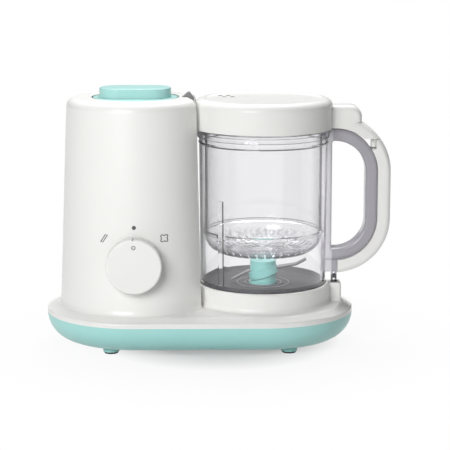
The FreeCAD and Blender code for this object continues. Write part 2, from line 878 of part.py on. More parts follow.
latch_post = rounded("latch_post", post_block, "post_round", on_post_edge)
recess_pot = cylinder("recess_pot", "recess_radius + shell_wall", "recess_depth + shell_wall",
                      "tower_x", "0", "pot_under")
bearing_tube = cylinder("bearing_tube", "bearing_radius + bearing_wall", "floor_under - bearing_level + 1",
                        "jar_x", "0", "bearing_level")
knob_pad = cylinder("knob_pad", "knob_seat_radius", "knob_seat - switch_seat",
                    "tower_x", "-switch_seat", "knob_level", upright)
housing_bosses = []
housing_holes = []
for number, (x, y) in enumerate(screw_places, start=1):
    height = "boss_rise" if "tower_x" in x else "deck_level - rim_level - 1"
    housing_bosses.append(cylinder(f"housing_boss_{number}", "screw_boss_radius", height, x, y, "rim_level"))
    housing_holes.append(cylinder(f"housing_boss_hole_{number}", "screw_radius",
                                  "screw_length - rim_level + screw_head_level + 1", x, y, "rim_level - 1"))
for number in (1, 2):
    level = f"(board_level + board_height * (0.6 * {number} - 0.4))"
    wall = f"tower_foot_radius - tower_slope * ({level} - deck_level)"
    housing_bosses.append(cylinder(f"board_post_{number}", "board_post_radius",
                                   f"{wall} - shell_wall / 2 - board_offset - board_sheet",
                                   "tower_x", "board_offset + board_sheet", level, backward))
housing_outside = fuse("housing_outside", deck_form, tower_form, collar_form, latch_post)
housing_hollow = fuse("housing_hollow", deck_hollow, tower_hollow)
housing_walls = cut("housing_walls", housing_outside, housing_hollow)
housing_inside = common(
    "housing_inside",
    fuse("housing_inside_form", recess_pot, *housing_bosses),
    housing_outside,
)
housing_solid = fuse("housing_solid", housing_walls, housing_inside, knob_pad, bearing_tube)
housing_holes += [
    cylinder("seat_bore", "seat_radius", "collar_rise + 1", "jar_x", "0", "deck_level"),
    cylinder("bearing_bore", "bearing_radius", "bearing_end - bearing_level + 1",
             "jar_x", "0", "bearing_level - 1"),
    cylinder("seal_bore", "seal_radius", "shell_wall + 2", "jar_x", "0", "bearing_end - 0.5"),
    cylinder("cap_recess", "recess_radius", "recess_depth + 1", "tower_x", "0", "recess_floor"),
    cylinder("filler_hole", "tank_neck_radius", "shell_wall + 2", "tower_x", "0", "pot_under - 1"),
    cylinder("knob_hole", "switch_bush_radius", "knob_seat - switch_seat + 2",
             "tower_x", "-switch_seat + 1", "knob_level", upright),
    block("latch_slot",
          "jar_x + latch_centre - latch_slot_length / 2", "jar_x + latch_centre + latch_slot_length / 2",
          "-latch_slot_width / 2", "latch_slot_width / 2", "slot_floor", "post_level + 1"),
    cylinder("stem_hole", "button_stem_radius + fit_gap", "latch_slot_depth + post_rise",
             "jar_x + latch_centre", "0", "floor_under - 2"),
    block("nozzle_notch", "tower_x + recess_radius + shell_wall", "tower_x + nest_x + shell_wall",
          "-nozzle_width / 2", "nozzle_width / 2", "top_level - nozzle_depth", "top_level + 1"),
]
main_housing = node(cut("main_housing", housing_solid, *housing_holes), "main_housing")

# Water tank with its heater, gasket and filler ring.
boiler_tank = turned(
    "boiler_tank",
    "tower_x",
    [
        ("0", "tank_floor_level"),
        ("tank_radius", "tank_floor_level"),
        ("tank_radius", "tank_flange_top - 2 * tank_flange_height"),
        ("tank_flange_radius", "tank_flange_top - tank_flange_height"),
        ("tank_flange_radius", "tank_flange_top"),
        ("tank_neck_radius", "tank_flange_top"),
        ("tank_neck_radius", "tank_rim"),
        ("tank_neck_bore", "tank_rim"),
        ("tank_neck_bore", "tank_flange_top - 2 * tank_flange_height"),
        ("tank_radius - tank_wall", "tank_flange_top - 4 * tank_flange_height"),
        ("tank_radius - tank_wall", "tank_floor_level + tank_wall"),
        ("0", "tank_floor_level + tank_wall"),
    ],
    {1: "2 * tank_wall", 10: "1.5 * tank_wall"},
)
outlet_sketch = sketch_on(boiler_tank, "YZ_Plane", "tank_outlet", "tank_radius - 2 * tank_wall")
circle(outlet_sketch, "0", "tube_level", "steam_tube_bore")
pocket(boiler_tank, outlet_sketch, "3 * tank_wall", True)
turned(
    "tank_gasket",
    "tower_x",
    rectangle("tank_neck_radius", "tank_flange_radius", "tank_flange_top", "pot_under"),
)
turned(
    "filler_ring",
    "tower_x",
    rectangle("tank_neck_radius", "tank_neck_radius + filler_ring_width", "recess_floor", "tank_rim"),
    {2: "edge_ease"},
)
turned(
    "heater_plate",
    "tower_x",
    rectangle("thermostat_radius", "heater_radius", "tank_floor_level - heater_height", "tank_floor_level"),
    {1: "edge_ease"},
)
turned(
    "thermostat",
    "tower_x",
    rectangle("0", "thermostat_radius", "tank_floor_level - thermostat_height", "tank_floor_level"),
)

# Tank cap: a disc with an oval grip above and a plug below that carries its seal ring.
tank_cap = turned(
    "tank_cap",
    "tower_x",
    [
        ("0", "cap_under - cap_plug_depth"),
        ("cap_plug_radius + cap_plug_lip", "cap_under - cap_plug_depth"),
        ("cap_plug_radius + cap_plug_lip", "cap_under - cap_plug_depth + cap_plug_lip"),
        ("cap_plug_radius", "cap_under - cap_plug_depth + cap_plug_lip"),
        ("cap_plug_radius", "plug_seal_top"),
        ("cap_plug_radius + cap_plug_lip", "plug_seal_top"),
        ("cap_plug_radius + cap_plug_lip", "cap_under"),
        ("recess_radius - cap_gap", "cap_under"),
        ("recess_radius - cap_gap", "cap_top"),
        ("0", "cap_top"),
    ],
    {8: "edge_ease"},
)
grip_sketch = sketch_on(tank_cap, "XY_Plane", "cap_grip", "cap_top - cap_disc_height / 2")
outline(
    grip_sketch,
    rectangle("-cap_grip_length / 2", "cap_grip_length / 2", "-cap_grip_width / 2", "cap_grip_width / 2"),
    {corner: "cap_grip_width / 2 - edge_ease" for corner in range(4)},
)
grip = pad(tank_cap, grip_sketch, "cap_grip_height + cap_disc_height / 2")
doc.recompute()
grip_top = max(vertex.Z for vertex in grip.Shape.Vertexes)
grip_edges = []
for number, edge in enumerate(grip.Shape.Edges, start=1):
    if min(vertex.Z for vertex in edge.Vertexes) > grip_top - 0.01:
        grip_edges.append(f"Edge{number}")
grip_round = tank_cap.newObject("PartDesign::Fillet", "cap_grip_edge")
grip_round.Base = (grip, grip_edges)
bind(grip_round, Radius="cap_grip_round")
turned(
    "tank_cap_seal",
    "tower_x",
    rectangle("cap_plug_radius + fit_gap", "tank_neck_bore - fit_gap",
              "plug_seal_top - cap_seal_height - fit_gap", "plug_seal_top - fit_gap"),
    {1: "seal_ease", 2: "seal_ease"},
)

# Steam outlet: a soft nozzle over the edge of the tower, fed by a tube from the tank.
steam_nozzle = new_body("steam_nozzle", "tower_x")
nozzle_sketch = sketch_on(steam_nozzle, "XZ_Plane", "nozzle_outline")
outline(
    nozzle_sketch,
    [
        ("recess_radius + shell_wall", "top_level - nozzle_depth"),
        ("tank_flange_radius + fit_gap", "top_level - nozzle_depth"),
        ("tank_flange_radius + fit_gap", "top_level - nozzle_depth - nozzle_tail"),
        ("nest_x - shell_wall", "top_level - nozzle_depth - nozzle_tail"),
        ("nest_x - shell_wall", "top_level - nozzle_depth"),
        ("axis_spacing - lid_radius - fit_gap", "top_level - nozzle_depth"),
        ("axis_spacing - lid_radius - fit_gap", "top_level - nozzle_lip"),
        ("nest_x", "top_level + nozzle_rise"),
        ("recess_radius + shell_wall", "top_level - nozzle_lip / 3"),
    ],
    {7: "nozzle_round"},
)
pad(steam_nozzle, nozzle_sketch, "nozzle_width", True)
mouth_sketch = sketch_on(steam_nozzle, "YZ_Plane", "nozzle_mouth", "axis_spacing - lid_radius")
circle(mouth_sketch, "0", "top_level - lid_port_drop", "steam_tube_radius")
pocket(steam_nozzle, mouth_sketch, "nozzle_overhang")
inlet_sketch = sketch_on(steam_nozzle, "YZ_Plane", "nozzle_inlet", "tank_flange_radius")
circle(inlet_sketch, "0", "tube_level", "steam_tube_radius")
pocket(steam_nozzle, inlet_sketch, "fit_gap + tube_depth", True)
tube_outer = cylinder("tube_outer", "steam_tube_radius", "tank_flange_radius + tube_depth",
                      "tower_x", "0", "tube_level", rightward)
tube_inner = cylinder("tube_inner", "steam_tube_bore", "2 * tank_flange_radius",
                      "tower_x", "0", "tube_level", rightward)
tank_core = cylinder("tank_core", "tank_radius", "4 * steam_tube_radius", "tower_x", "0",
                     "tube_level - 2 * steam_tube_radius")
node(cut("steam_tube", tube_outer, tube_inner, tank_core), "steam_tube")

# Control knob, its shaft and the rotary switch behind the wall.
control_knob = turned(
    "control_knob",
    "tower_x",
    [
        ("knob_shaft_radius", "switch_bush_end + fit_gap"),
        ("knob_shaft_radius + knob_socket_wall", "switch_bush_end + fit_gap"),
        ("knob_shaft_radius + knob_socket_wall", "knob_face - knob_sheet"),
        ("knob_radius - knob_wall", "knob_face - knob_sheet"),
        ("knob_radius - knob_wall", "knob_back"),
        ("knob_radius", "knob_back"),
        ("knob_radius", "knob_face"),
        ("0", "knob_face"),
        ("0", "knob_shaft_end"),
        ("knob_shaft_radius", "knob_shaft_end"),
    ],
    {6: "knob_edge_round"},
    upright,
    "knob_level",
)
dimple_sketch = sketch_on(control_knob, "XY_Plane", "knob_dimple", "knob_face")
circle(dimple_sketch, "0", "knob_dimple_offset", "knob_dimple_radius")
pocket(control_knob, dimple_sketch, "knob_dimple_depth")
notch_sketch = sketch_on(control_knob, "XY_Plane", "knob_notch", "knob_face")
outline(notch_sketch, rectangle("-knob_notch_width / 2", "knob_notch_width / 2",
                                "knob_radius - knob_notch_depth", "knob_radius + 1"))
pocket(control_knob, notch_sketch, "knob_face - knob_back + 1")
turned(
    "knob_shaft",
    "tower_x",
    rectangle("0", "knob_shaft_radius", "switch_back + switch_floor", "knob_shaft_end"),
    None,
    upright,
    "knob_level",
)
turned(
    "rotary_switch",
    "tower_x",
    [
        ("0", "switch_back"),
        ("switch_radius", "switch_back"),
        ("switch_radius", "switch_seat"),
        ("switch_bush_radius", "switch_seat"),
        ("switch_bush_radius", "switch_bush_end"),
        ("knob_shaft_radius + running_gap", "switch_bush_end"),
        ("knob_shaft_radius + running_gap", "switch_back + switch_floor - fit_gap"),
        ("0", "switch_back + switch_floor - fit_gap"),
    ],
    {1: "edge_ease"},
    upright,
    "knob_level",
)
nut_form = doc.addObject("Part::Prism", "nut_form")
nut_form.Polygon = 6
bind(nut_form, Circumradius="switch_nut_radius", Height="switch_nut_height")
place(nut_form, "tower_x", "-knob_seat", "knob_level", upright)
nut_hole = cylinder("nut_hole", "switch_bush_radius", "switch_nut_height + 2",
                    "tower_x", "-knob_seat + 1", "knob_level", upright)
node(cut("switch_nut", nut_form, nut_hole), "switch_nut")

# Motor, its bracket and screws.
turned(
    "motor_can",
    "tower_x",
    [
        ("motor_bush_radius", "motor_level"),
        ("motor_radius", "motor_level"),
        ("motor_radius", "motor_top"),
        ("motor_bush_radius", "motor_top"),
        ("motor_bush_radius", "motor_top - motor_end_wall"),
        ("motor_bore", "motor_top - motor_end_wall"),
        ("motor_bore", "motor_level + motor_end_wall"),
        ("motor_bush_radius", "motor_level + motor_end_wall"),
    ],
    {1: "motor_round", 2: "motor_round"},
)


def ring(name, outer, inner, height, x, z):
    outside = cylinder(f"{name}_outside", outer, height, x, "0", z)
    inside = cylinder(f"{name}_inside", inner, f"{height} + 2", x, "0", f"{z} - 1")
    return cut(name, outside, inside)


group(
    "motor_bushes",
    ring("motor_bush_low", "motor_bush_radius", "motor_shaft_radius + running_gap", "motor_end_wall",
         "tower_x", "motor_level"),
    ring("motor_bush_high", "motor_bush_radius", "motor_shaft_radius + running_gap", "motor_end_wall",
         "tower_x", "motor_top - motor_end_wall"),
)
turned(
    "motor_rotor",
    "tower_x",
    [
        ("0", "pulley_level - shaft_stub"),
        ("motor_shaft_radius", "pulley_level - shaft_stub"),
        ("motor_shaft_radius", "motor_level + 2 * motor_end_wall"),
        ("motor_bore - rotor_gap", "motor_level + 2 * motor_end_wall"),
        ("motor_bore - rotor_gap", "motor_top - 2 * motor_end_wall"),
        ("motor_shaft_radius", "motor_top - 2 * motor_end_wall"),
        ("motor_shaft_radius", "motor_top + motor_end_wall"),
        ("0", "motor_top + motor_end_wall"),
    ],
)
motor_bracket = new_body("motor_bracket", "tower_x")
bracket_sketch = sketch_on(motor_bracket, "XY_Plane", "bracket_outline", "bracket_level")
outline(
    bracket_sketch,
    rectangle("-bracket_length / 2", "bracket_length / 2", "-bracket_width / 2", "bracket_width / 2"),
    {corner: "motor_post_radius" for corner in range(4)},
)
circle(bracket_sketch, "0", "0", "bracket_hole_radius")
for across in ("-", ""):
    for side in ("-", ""):
        circle(bracket_sketch, f"{across}motor_post_x", f"{side}motor_post_y", "screw_radius")
pad(motor_bracket, bracket_sketch, "bracket_sheet")
motor_screws = []
for number, (x, y) in enumerate(post_places, start=1):
    head = cylinder(f"motor_screw_head_{number}", "screw_head_radius", "screw_head_height", x, y, "motor_level")
    shank = cylinder(f"motor_screw_shank_{number}", "screw_radius", "motor_screw_length", x, y,
                     "motor_level - motor_screw_length")
    motor_screws.append(fuse(f"motor_screw_{number}", head, shank))
group("motor_screws", *motor_screws)


# Belt drive from the motor to the spindle under the jar.
def pulley(label, x, radius, bore):
    turned(
        label,
        x,
        [
            (bore, "pulley_level"),
            (f"{radius} + pulley_flange_lip", "pulley_level"),
            (f"{radius} + pulley_flange_lip", "pulley_level + pulley_flange"),
            (radius, "pulley_level + pulley_flange"),
            (radius, "pulley_top - pulley_flange"),
            (f"{radius} + pulley_flange_lip", "pulley_top - pulley_flange"),
            (f"{radius} + pulley_flange_lip", "pulley_top"),
            (bore, "pulley_top"),
        ],
    )


pulley("motor_pulley", "tower_x", "motor_pulley_radius", "motor_shaft_radius")
pulley("drive_pulley", "jar_x", "drive_pulley_radius", "spindle_radius")


def belt_loop(sketch, small, large):
    radii = [amount(small), amount(large)]
    span = amount("axis_spacing")
    lean = math.acos((radii[0] - radii[1]) / span)
    centres = [Vector(), Vector(span, 0, 0)]
    sweeps = [(lean, 2 * math.pi - lean), (-lean, lean)]
    arcs = []
    for centre, radius, (start, end) in zip(centres, radii, sweeps):
        ring = Part.Circle(centre, Vector(0, 0, 1), radius)
        arcs.append(sketch.addGeometry(Part.ArcOfCircle(ring, start, end)))
    reach = [Vector(math.cos(lean) * radius, math.sin(lean) * radius, 0) for radius in radii]
    upper = sketch.addGeometry(Part.LineSegment(centres[1] + reach[1], centres[0] + reach[0]))
    mirrored = [Vector(spot.x, -spot.y, 0) for spot in reach]
    lower = sketch.addGeometry(Part.LineSegment(centres[0] + mirrored[0], centres[1] + mirrored[1]))
    sketch.addConstraint(Sketcher.Constraint("Coincident", arcs[0], 3, -1, 1))
    fix_point(sketch, arcs[1], 3, "axis_spacing", "0")
    for arc, text in zip(arcs, (small, large)):
        index = sketch.addConstraint(Sketcher.Constraint("Radius", arc, amount(text)))
        sketch.setExpression(f"Constraints[{index}]", bound(text))
    sketch.addConstraint(Sketcher.Constraint("Tangent", upper, 1, arcs[1], 2))
    sketch.addConstraint(Sketcher.Constraint("Tangent", upper, 2, arcs[0], 1))
    sketch.addConstraint(Sketcher.Constraint("Tangent", lower, 1, arcs[0], 2))
    sketch.addConstraint(Sketcher.Constraint("Tangent", lower, 2, arcs[1], 1))


drive_belt = new_body("drive_belt", "tower_x")
belt_sketch = sketch_on(drive_belt, "XY_Plane", "belt_loop", "belt_level")
belt_loop(belt_sketch, "motor_pulley_radius + fit_gap + belt_thickness",
          "drive_pulley_radius + fit_gap + belt_thickness")
belt_loop(belt_sketch, "motor_pulley_radius + fit_gap", "drive_pulley_radius + fit_gap")
pad(drive_belt, belt_sketch, "belt_width")

turned(
    "drive_spindle",
    "jar_x",
    rectangle("0", "spindle_radius", "pulley_level - shaft_stub", "dog_root"),
)
turned(
    "spindle_clip",
    "jar_x",
    rectangle("spindle_radius", "clip_radius", "pulley_top", "pulley_top + clip_sheet"),
)
group(
    "drive_bearings",
    ring("bearing_low", "bearing_radius", "spindle_radius + running_gap", "bearing_height",
         "jar_x", "bearing_level"),
    ring("bearing_high", "bearing_radius", "spindle_radius + running_gap", "bearing_height",
         "jar_x", "bearing_level + bearing_spacing"),
)
turned(
    "shaft_seal",
    "jar_x",
    rectangle("spindle_radius + fit_gap", "seal_radius", "bearing_end", "deck_level"),
)


# The two halves of the coupling: three dogs on each, meshing with play.
dog_count = 3


def coupling(label, level, bore, dog_level, dog_turn):
    body = turned(label, "jar_x", rectangle(bore, "coupling_radius", level, f"{level} + coupling_sheet"))
    dog_sketch = sketch_on(body, "XY_Plane", f"{label}_dog", dog_level)
    dog_sketch.AttachmentOffset = Placement(Vector(), Rotation(Vector(0, 0, 1), dog_turn))
    dog_sketch.setExpression("AttachmentOffset.Base.z", bound(dog_level))
    dog = rectangle("dog_inner", "coupling_radius - 2 * fit_gap", "-dog_width / 2", "dog_width / 2")
    outline(dog_sketch, dog)
    dog = pad(body, dog_sketch, "dog_height + coupling_sheet / 4")
    repeat_round(body, dog, dog_count)


coupling("drive_coupling", "coupling_level", "spindle_radius", "dog_root - coupling_sheet / 4", 0)
coupling("driven_coupling", "driven_level", "blade_spindle_radius", "driven_level - dog_height",
         180 / dog_count)

# Interlock: a button in the latch post, pressed by the jar, above its switch.
button_block = block("button_block",
                     "jar_x + latch_centre - latch_slot_length / 2 + fit_gap",
                     "jar_x + latch_centre + latch_slot_length / 2 - fit_gap",
                     "-latch_slot_width / 2 + fit_gap", "latch_slot_width / 2 - fit_gap",
                     "button_foot", "button_foot + button_height")
button_stem = cylinder("button_stem", "button_stem_radius", "button_foot - seat_under + button_height / 2",
                       "jar_x + latch_centre", "0", "seat_under")
node(fuse("interlock_button", button_block, button_stem), "interlock_button")
switch_top = "seat_under - button_travel - fit_gap"
switch_box = block("switch_box",
                   "jar_x + latch_centre - switch_box_length / 2",
                   "jar_x + latch_centre + switch_box_length / 2",
                   "-switch_box_width / 2", "switch_box_width / 2",
                   f"{switch_top} - switch_box_height", switch_top)
switch_legs = []
for number, side in enumerate(("-", "+"), start=1):
    switch_legs.append(cylinder(f"switch_leg_{number}", "switch_leg_radius",
                                "switch_box_height / 2 + button_travel + fit_gap",
                                "jar_x + latch_centre - switch_leg_offset",
                                f"{side}switch_box_width / 4",
                                f"{switch_top} - switch_box_height / 2"))
node(fuse("interlock_switch", switch_box, *switch_legs), "interlock_switch")

# Control board on its posts at the back of the tower.
node(
    block("control_board", "tower_x - board_width / 2", "tower_x + board_width / 2",
          "board_offset", "board_offset + board_sheet", "board_level", "board_level + board_height"),
    "control_board",
)

# Jar: a clear tapered wall with a ribbed band, a neck for the lid and ribs inside.
jar_turned = revolved(
    "jar_turned",
    [
        ("jar_foot_radius - jar_wall", "jar_foot"),
        ("jar_foot_radius", "jar_foot"),
        ("jar_top_radius - jar_slope * 2 * jar_bead_drop", "band_level - 2 * jar_bead_drop"),
        ("jar_top_radius + jar_bead", "band_level - 1.5 * jar_bead_drop"),
        ("jar_top_radius - jar_slope * jar_bead_drop", "band_level - jar_bead_drop"),
        ("jar_top_radius", "band_level"),
        ("jar_band_radius", "band_level + jar_band_bevel"),
        ("jar_band_radius", "lid_level - jar_band_bevel"),
        ("jar_neck_radius", "lid_level - jar_band_step"),
        ("jar_neck_radius", "jar_rim"),
        ("jar_bore", "jar_rim"),
        ("jar_bore", "jar_shelf"),
        ("jar_top_radius - jar_wall", "jar_shelf"),
        ("jar_foot_radius - jar_wall + jar_slope * (jar_ledge - jar_foot)", "jar_ledge"),
        ("jar_ledge_radius", "jar_ledge"),
        ("jar_ledge_radius", "jar_ledge - jar_ledge_height"),
        ("jar_foot_radius - jar_wall", "jar_ledge - jar_ledge_height"),
    ],
    {6: "jar_band_round"},
    "jar_x",
)
rib_ring = revolved(
    "rib_ring",
    [
        ("jar_inner_foot + jar_slope * (rib_foot - jar_foot) - rib_depth", "rib_foot"),
        ("jar_inner_foot + jar_slope * (rib_foot - jar_foot) + rib_root", "rib_foot"),
        ("jar_inner_foot + jar_slope * (rib_top - jar_foot) + rib_root", "rib_top"),
        ("jar_inner_foot + jar_slope * (rib_top - jar_foot) - rib_depth", "rib_top"),
    ],
    {},
    "jar_x",
)
rib_slabs = []
for number in range(2):
    slab = doc.addObject("Part::Box", f"rib_slab_{number + 1}")
    bind(slab, Length="jar_top_radius", Width="rib_width", Height="rib_top")
    heading = f"(rib_turn + {number} * rib_spread)"
    slab.Placement = Placement(Vector(), Rotation(Vector(0, 0, 1), amount(heading)))
    slab.setExpression("Placement.Rotation.Angle", bound(f"{heading} * 1 deg"))
    bind(slab, **{
        "Placement.Base.x": f"jar_x + rib_width / 2 * sin({heading} * 1 deg)",
        "Placement.Base.y": f"-rib_width / 2 * cos({heading} * 1 deg)",
        "Placement.Base.z": "blade_base_edge",
    })
    rib_slabs.append(slab)
ribs = common("ribs", rib_ring, fuse("rib_slab_set", *rib_slabs))
jar_body = node(fuse("jar_body", jar_turned, ribs), "jar_body")

# Handle: a clear inner frame with its spine and latch prong, and a cover outside it.
frame_sketch = free_sketch(
    "frame_outline",
    [
        ("spine_reach / 2", "frame_foot"),
        ("frame_reach", "frame_foot"),
        ("frame_reach", "frame_head"),
        ("spine_reach / 2", "frame_head"),
    ],
    {1: "handle_frame_radius", 2: "handle_frame_radius"},
    "jar_x",
)
frame_form = extruded("frame_form", frame_sketch, Vector(0, 1, 0), "handle_frame_width", True)
window_sketch = free_sketch(
    "window_outline",
    rectangle("spine_reach", "handle_centre + handle_window_radius",
              "handle_low - handle_window_radius", "handle_high + handle_window_radius"),
    {
        1: "handle_window_radius - fit_gap / 3",
        2: "handle_window_radius - fit_gap / 3",
        3: "window_corner_round",
    },
    "jar_x",
)
window = extruded("window", window_sketch, Vector(0, 1, 0), "2 * handle_frame_width", True)
frame_loop = cut("frame_loop", frame_form, window)


def on_frame_edge(edge):
    width = amount("handle_frame_width") / 2
    spots = [vertex.Point for vertex in edge.Vertexes]
    on_side = all(abs(abs(spot.y) - width) < 0.01 for spot in spots)
    flat = abs(spots[0].y - spots[-1].y) < 0.01
    inner = min(spot.x for spot in spots) > amount("jar_x + spine_reach") - 0.01
    middle = edge.valueAt((edge.FirstParameter + edge.LastParameter) / 2)
    in_window = middle.x < amount("jar_x + handle_centre + handle_window_radius") + 0.01
    low = middle.z > amount("handle_low - handle_window_radius") - 0.01
    high = middle.z < amount("handle_high + handle_window_radius") + 0.01
    return on_side and flat and inner and in_window and low and high


frame_rounded = rounded("frame_rounded", frame_loop, "handle_frame_round", on_frame_edge)
frame_foot_block = block("frame_foot_block",
                         "jar_x + jar_foot_radius - jar_wall", "jar_x + cover_foot - fit_gap",
                         "-latch_slot_width / 2 - prong_leg", "latch_slot_width / 2 + prong_leg",
                         "spine_foot_level", "frame_foot + prong_leg")
frame_prong = block("frame_prong",
                    "jar_x + latch_centre - latch_slot_length / 2 + 2 * fit_gap",
                    "jar_x + latch_centre + latch_slot_length / 2 - 3 * fit_gap",
                    "-latch_slot_width / 2 + 2 * fit_gap", "latch_slot_width / 2 - 2 * fit_gap",
                    "button_foot + button_height + fit_gap", "spine_foot_level + prong_leg")
jar_solid = revolved(
    "jar_solid",
    [
        ("0", "jar_foot"),
        ("jar_foot_radius", "jar_foot"),
        ("jar_top_radius - jar_slope * 2 * jar_bead_drop", "band_level - 2 * jar_bead_drop"),
        ("jar_top_radius + jar_bead", "band_level - 1.5 * jar_bead_drop"),
        ("jar_top_radius - jar_slope * jar_bead_drop", "band_level - jar_bead_drop"),
        ("jar_top_radius", "band_level"),
        ("jar_band_radius", "band_level + jar_band_bevel"),
        ("jar_band_radius", "lid_level"),
        ("0", "lid_level"),
    ],
    {6: "jar_band_round"},
    "jar_x",
)
latch_notch = block("latch_notch", "jar_x + latch_notch_left", "jar_x + latch_notch_left + latch_notch_width",
                    "-handle_cover_width", "handle_cover_width",
                    "cover_top_level - latch_notch_depth", "cover_top_level + latch_notch_depth")
prong_gaps = []
for number, (low, high) in enumerate((
    ("slot_floor", "post_level + prong_bar_rise"),
    ("post_level + prong_bar_rise + prong_bar_height", "spine_foot_level"),
), start=1):
    prong_gaps.append(block(f"prong_gap_{number}",
                            "jar_x + latch_centre - latch_slot_length / 2 + 2 * fit_gap + prong_leg",
                            "jar_x + latch_centre + latch_slot_length / 2 - 3 * fit_gap - prong_leg",
                            "-latch_slot_width", "latch_slot_width", low, high))
frame_solid = fuse("frame_solid", frame_rounded, frame_foot_block, frame_prong)
node(cut("handle_frame", frame_solid, jar_solid, latch_notch, *prong_gaps), "handle_frame")


def handle_band(name, inner_radius, width):
    sketch = free_sketch(
        f"{name}_outline",
        [
            ("lid_radius - arm_root", "handle_foot"),
            ("handle_reach", "handle_foot"),
            ("handle_reach", "handle_head"),
            ("lid_radius - arm_root", "handle_head"),
            ("lid_radius - arm_root", f"handle_high + {inner_radius}"),
            (f"handle_centre + {inner_radius}", f"handle_high + {inner_radius}"),
            (f"handle_centre + {inner_radius}", f"handle_low - {inner_radius}"),
            ("lid_radius - arm_root", f"handle_low - {inner_radius}"),
        ],
        {
            1: "handle_reach - handle_centre",
            2: "handle_reach - handle_centre",
            5: inner_radius,
            6: inner_radius,
        },
        "jar_x",
    )
    return extruded(f"{name}_band", sketch, Vector(0, 1, 0), width, True)


def on_outer_band(edge):
    width = amount("handle_cover_width") / 2
    spots = [vertex.Point for vertex in edge.Vertexes]
    on_side = all(abs(abs(spot.y) - width) < 0.01 for spot in spots)
    flat = abs(spots[0].y - spots[-1].y) < 0.01
    middle = edge.valueAt((edge.FirstParameter + edge.LastParameter) / 2)
    high = max(middle.z - amount("handle_high"), amount("handle_low") - middle.z, 0)
    reach = amount("handle_reach - handle_centre")
    away = math.hypot(middle.x - amount("jar_x + handle_centre"), high)
    return on_side and flat and abs(away - reach) < 0.05


cover_span = block("cover_span", "jar_x + cover_foot", "jar_x + handle_reach + 1",
                   "-handle_cover_width", "handle_cover_width", "handle_foot - 1", "cover_top_level")
cover_sweep = handle_band("cover", "handle_frame_radius", "handle_cover_width")
cover_band = common("cover_band", cover_sweep, cover_span)
cover_rounded = rounded("cover_rounded", cover_band, "handle_edge_round", on_outer_band)
cover_notch = block("cover_notch", "jar_x + handle_centre", "jar_x + latch_notch_left + latch_notch_width",
                    "-handle_cover_width", "handle_cover_width",
                    "cover_top_level - latch_notch_depth", "cover_top_level + latch_notch_depth")
node(cut("handle_cover", cover_rounded, cover_notch), "handle_cover")

# Lid: a shallow cap with a dished top, an inner skirt, vents, a steam port and an arm over the handle.
lid_turned = revolved(
    "lid_turned",
    [
        ("lid_bore", "lid_level"),
        ("lid_radius", "lid_level"),
        ("lid_radius", "lid_top"),
        ("lid_radius - lid_edge_round - lid_dish_inset / 2", "lid_top"),
        ("lid_radius - lid_edge_round - lid_dish_inset", "lid_top - lid_dish_depth"),
        ("0", "lid_top - lid_dish_depth"),
        ("0", "lid_under"),
        ("lid_skirt_radius - lid_skirt_wall", "lid_under"),
        ("lid_skirt_radius - lid_skirt_wall", "lid_under - lid_skirt_drop"),
        ("lid_skirt_radius", "lid_under - lid_skirt_drop"),
        ("lid_skirt_radius", "lid_seal_seat"),
        ("lid_bore", "lid_seal_seat"),
    ],
    {2: "lid_edge_round"},
    "jar_x",
)
arm_end = "cover_top_level + arm_end_gap"
arm_span = block("arm_span", "jar_x + lid_radius - arm_root", "jar_x + handle_reach + 1",
                 "-handle_cover_width", "handle_cover_width", arm_end, "handle_head + 1")
arm_sweep = handle_band("arm", "(handle_frame_radius + arm_gap)", "handle_cover_width")
arm_band = common("arm_band", arm_sweep, arm_span)
arm_rounded = rounded("arm_rounded", arm_band, "handle_edge_round", on_outer_band)
thumb_sketch = free_sketch(
    "thumb_outline",
    [
        ("lid_radius - arm_root", "handle_high + handle_frame_radius + arm_gap"),
        ("arm_thumb_reach", "lid_top - arm_thumb_drop - arm_thumb_step"),
        ("arm_thumb_reach", "lid_top - arm_thumb_drop"),
        ("lid_radius - arm_root", "lid_top - arm_thumb_drop"),
    ],
    {2: "arm_thumb_round"},
    "jar_x",
)
thumb_form = extruded("thumb_form", thumb_sketch, Vector(0, 1, 0), "handle_cover_width", True)


def on_thumb_edge(edge):
    width = amount("handle_cover_width") / 2
    spots = [vertex.Point for vertex in edge.Vertexes]
    on_side = all(abs(abs(spot.y) - width) < 0.01 for spot in spots)
    flat = abs(spots[0].y - spots[-1].y) < 0.01
    middle = edge.valueAt((edge.FirstParameter + edge.LastParameter) / 2)
    top = middle.z > amount("lid_top - arm_thumb_drop - arm_thumb_round") - 0.01
    outer = middle.x > amount("jar_x + arm_thumb_reach") - 0.01
    return on_side and flat and (top or outer) and middle.x > amount("jar_x + lid_radius - 4")


thumb_rounded = rounded("thumb_rounded", thumb_form, "handle_edge_round", on_thumb_edge)
prong = block("prong",
              "jar_x + latch_notch_left + arm_prong_clearance",
              "jar_x + latch_notch_left + latch_notch_width - arm_prong_clearance",
              "-arm_prong_width / 2", "arm_prong_width / 2",
              "cover_top_level - latch_notch_depth + arm_prong_clearance", f"{arm_end} + lid_wall")
lid_inside = cylinder("lid_inside", "lid_bore", "lid_height", "jar_x", "0", "lid_level - 1")
arm_form = cut("arm_form", fuse("arm_solid", arm_rounded, thumb_rounded, prong), lid_inside)
vent_heading = "lid_vent_turn * 1 deg"
vents = []
vent_spots = [(-1.5, 1), (0.5, 1), (-0.5, -1), (1.5, -1)]
for number, (across, along) in enumerate(vent_spots, start=1):
    vents.append(cylinder(f"lid_vent_{number}", "lid_vent_radius", "3 * lid_wall",
                          f"jar_x + lid_vent_reach * cos({vent_heading}) + {across} * lid_vent_spread",
                          f"lid_vent_reach * sin({vent_heading}) + {along} * lid_vent_rows",
                          "lid_under - lid_wall"))
lid_port = cylinder("lid_port", "lid_port_radius", "lid_radius - lid_skirt_radius + 5",
                    "jar_x - lid_radius - 1", "0", "top_level - lid_port_drop", rightward)
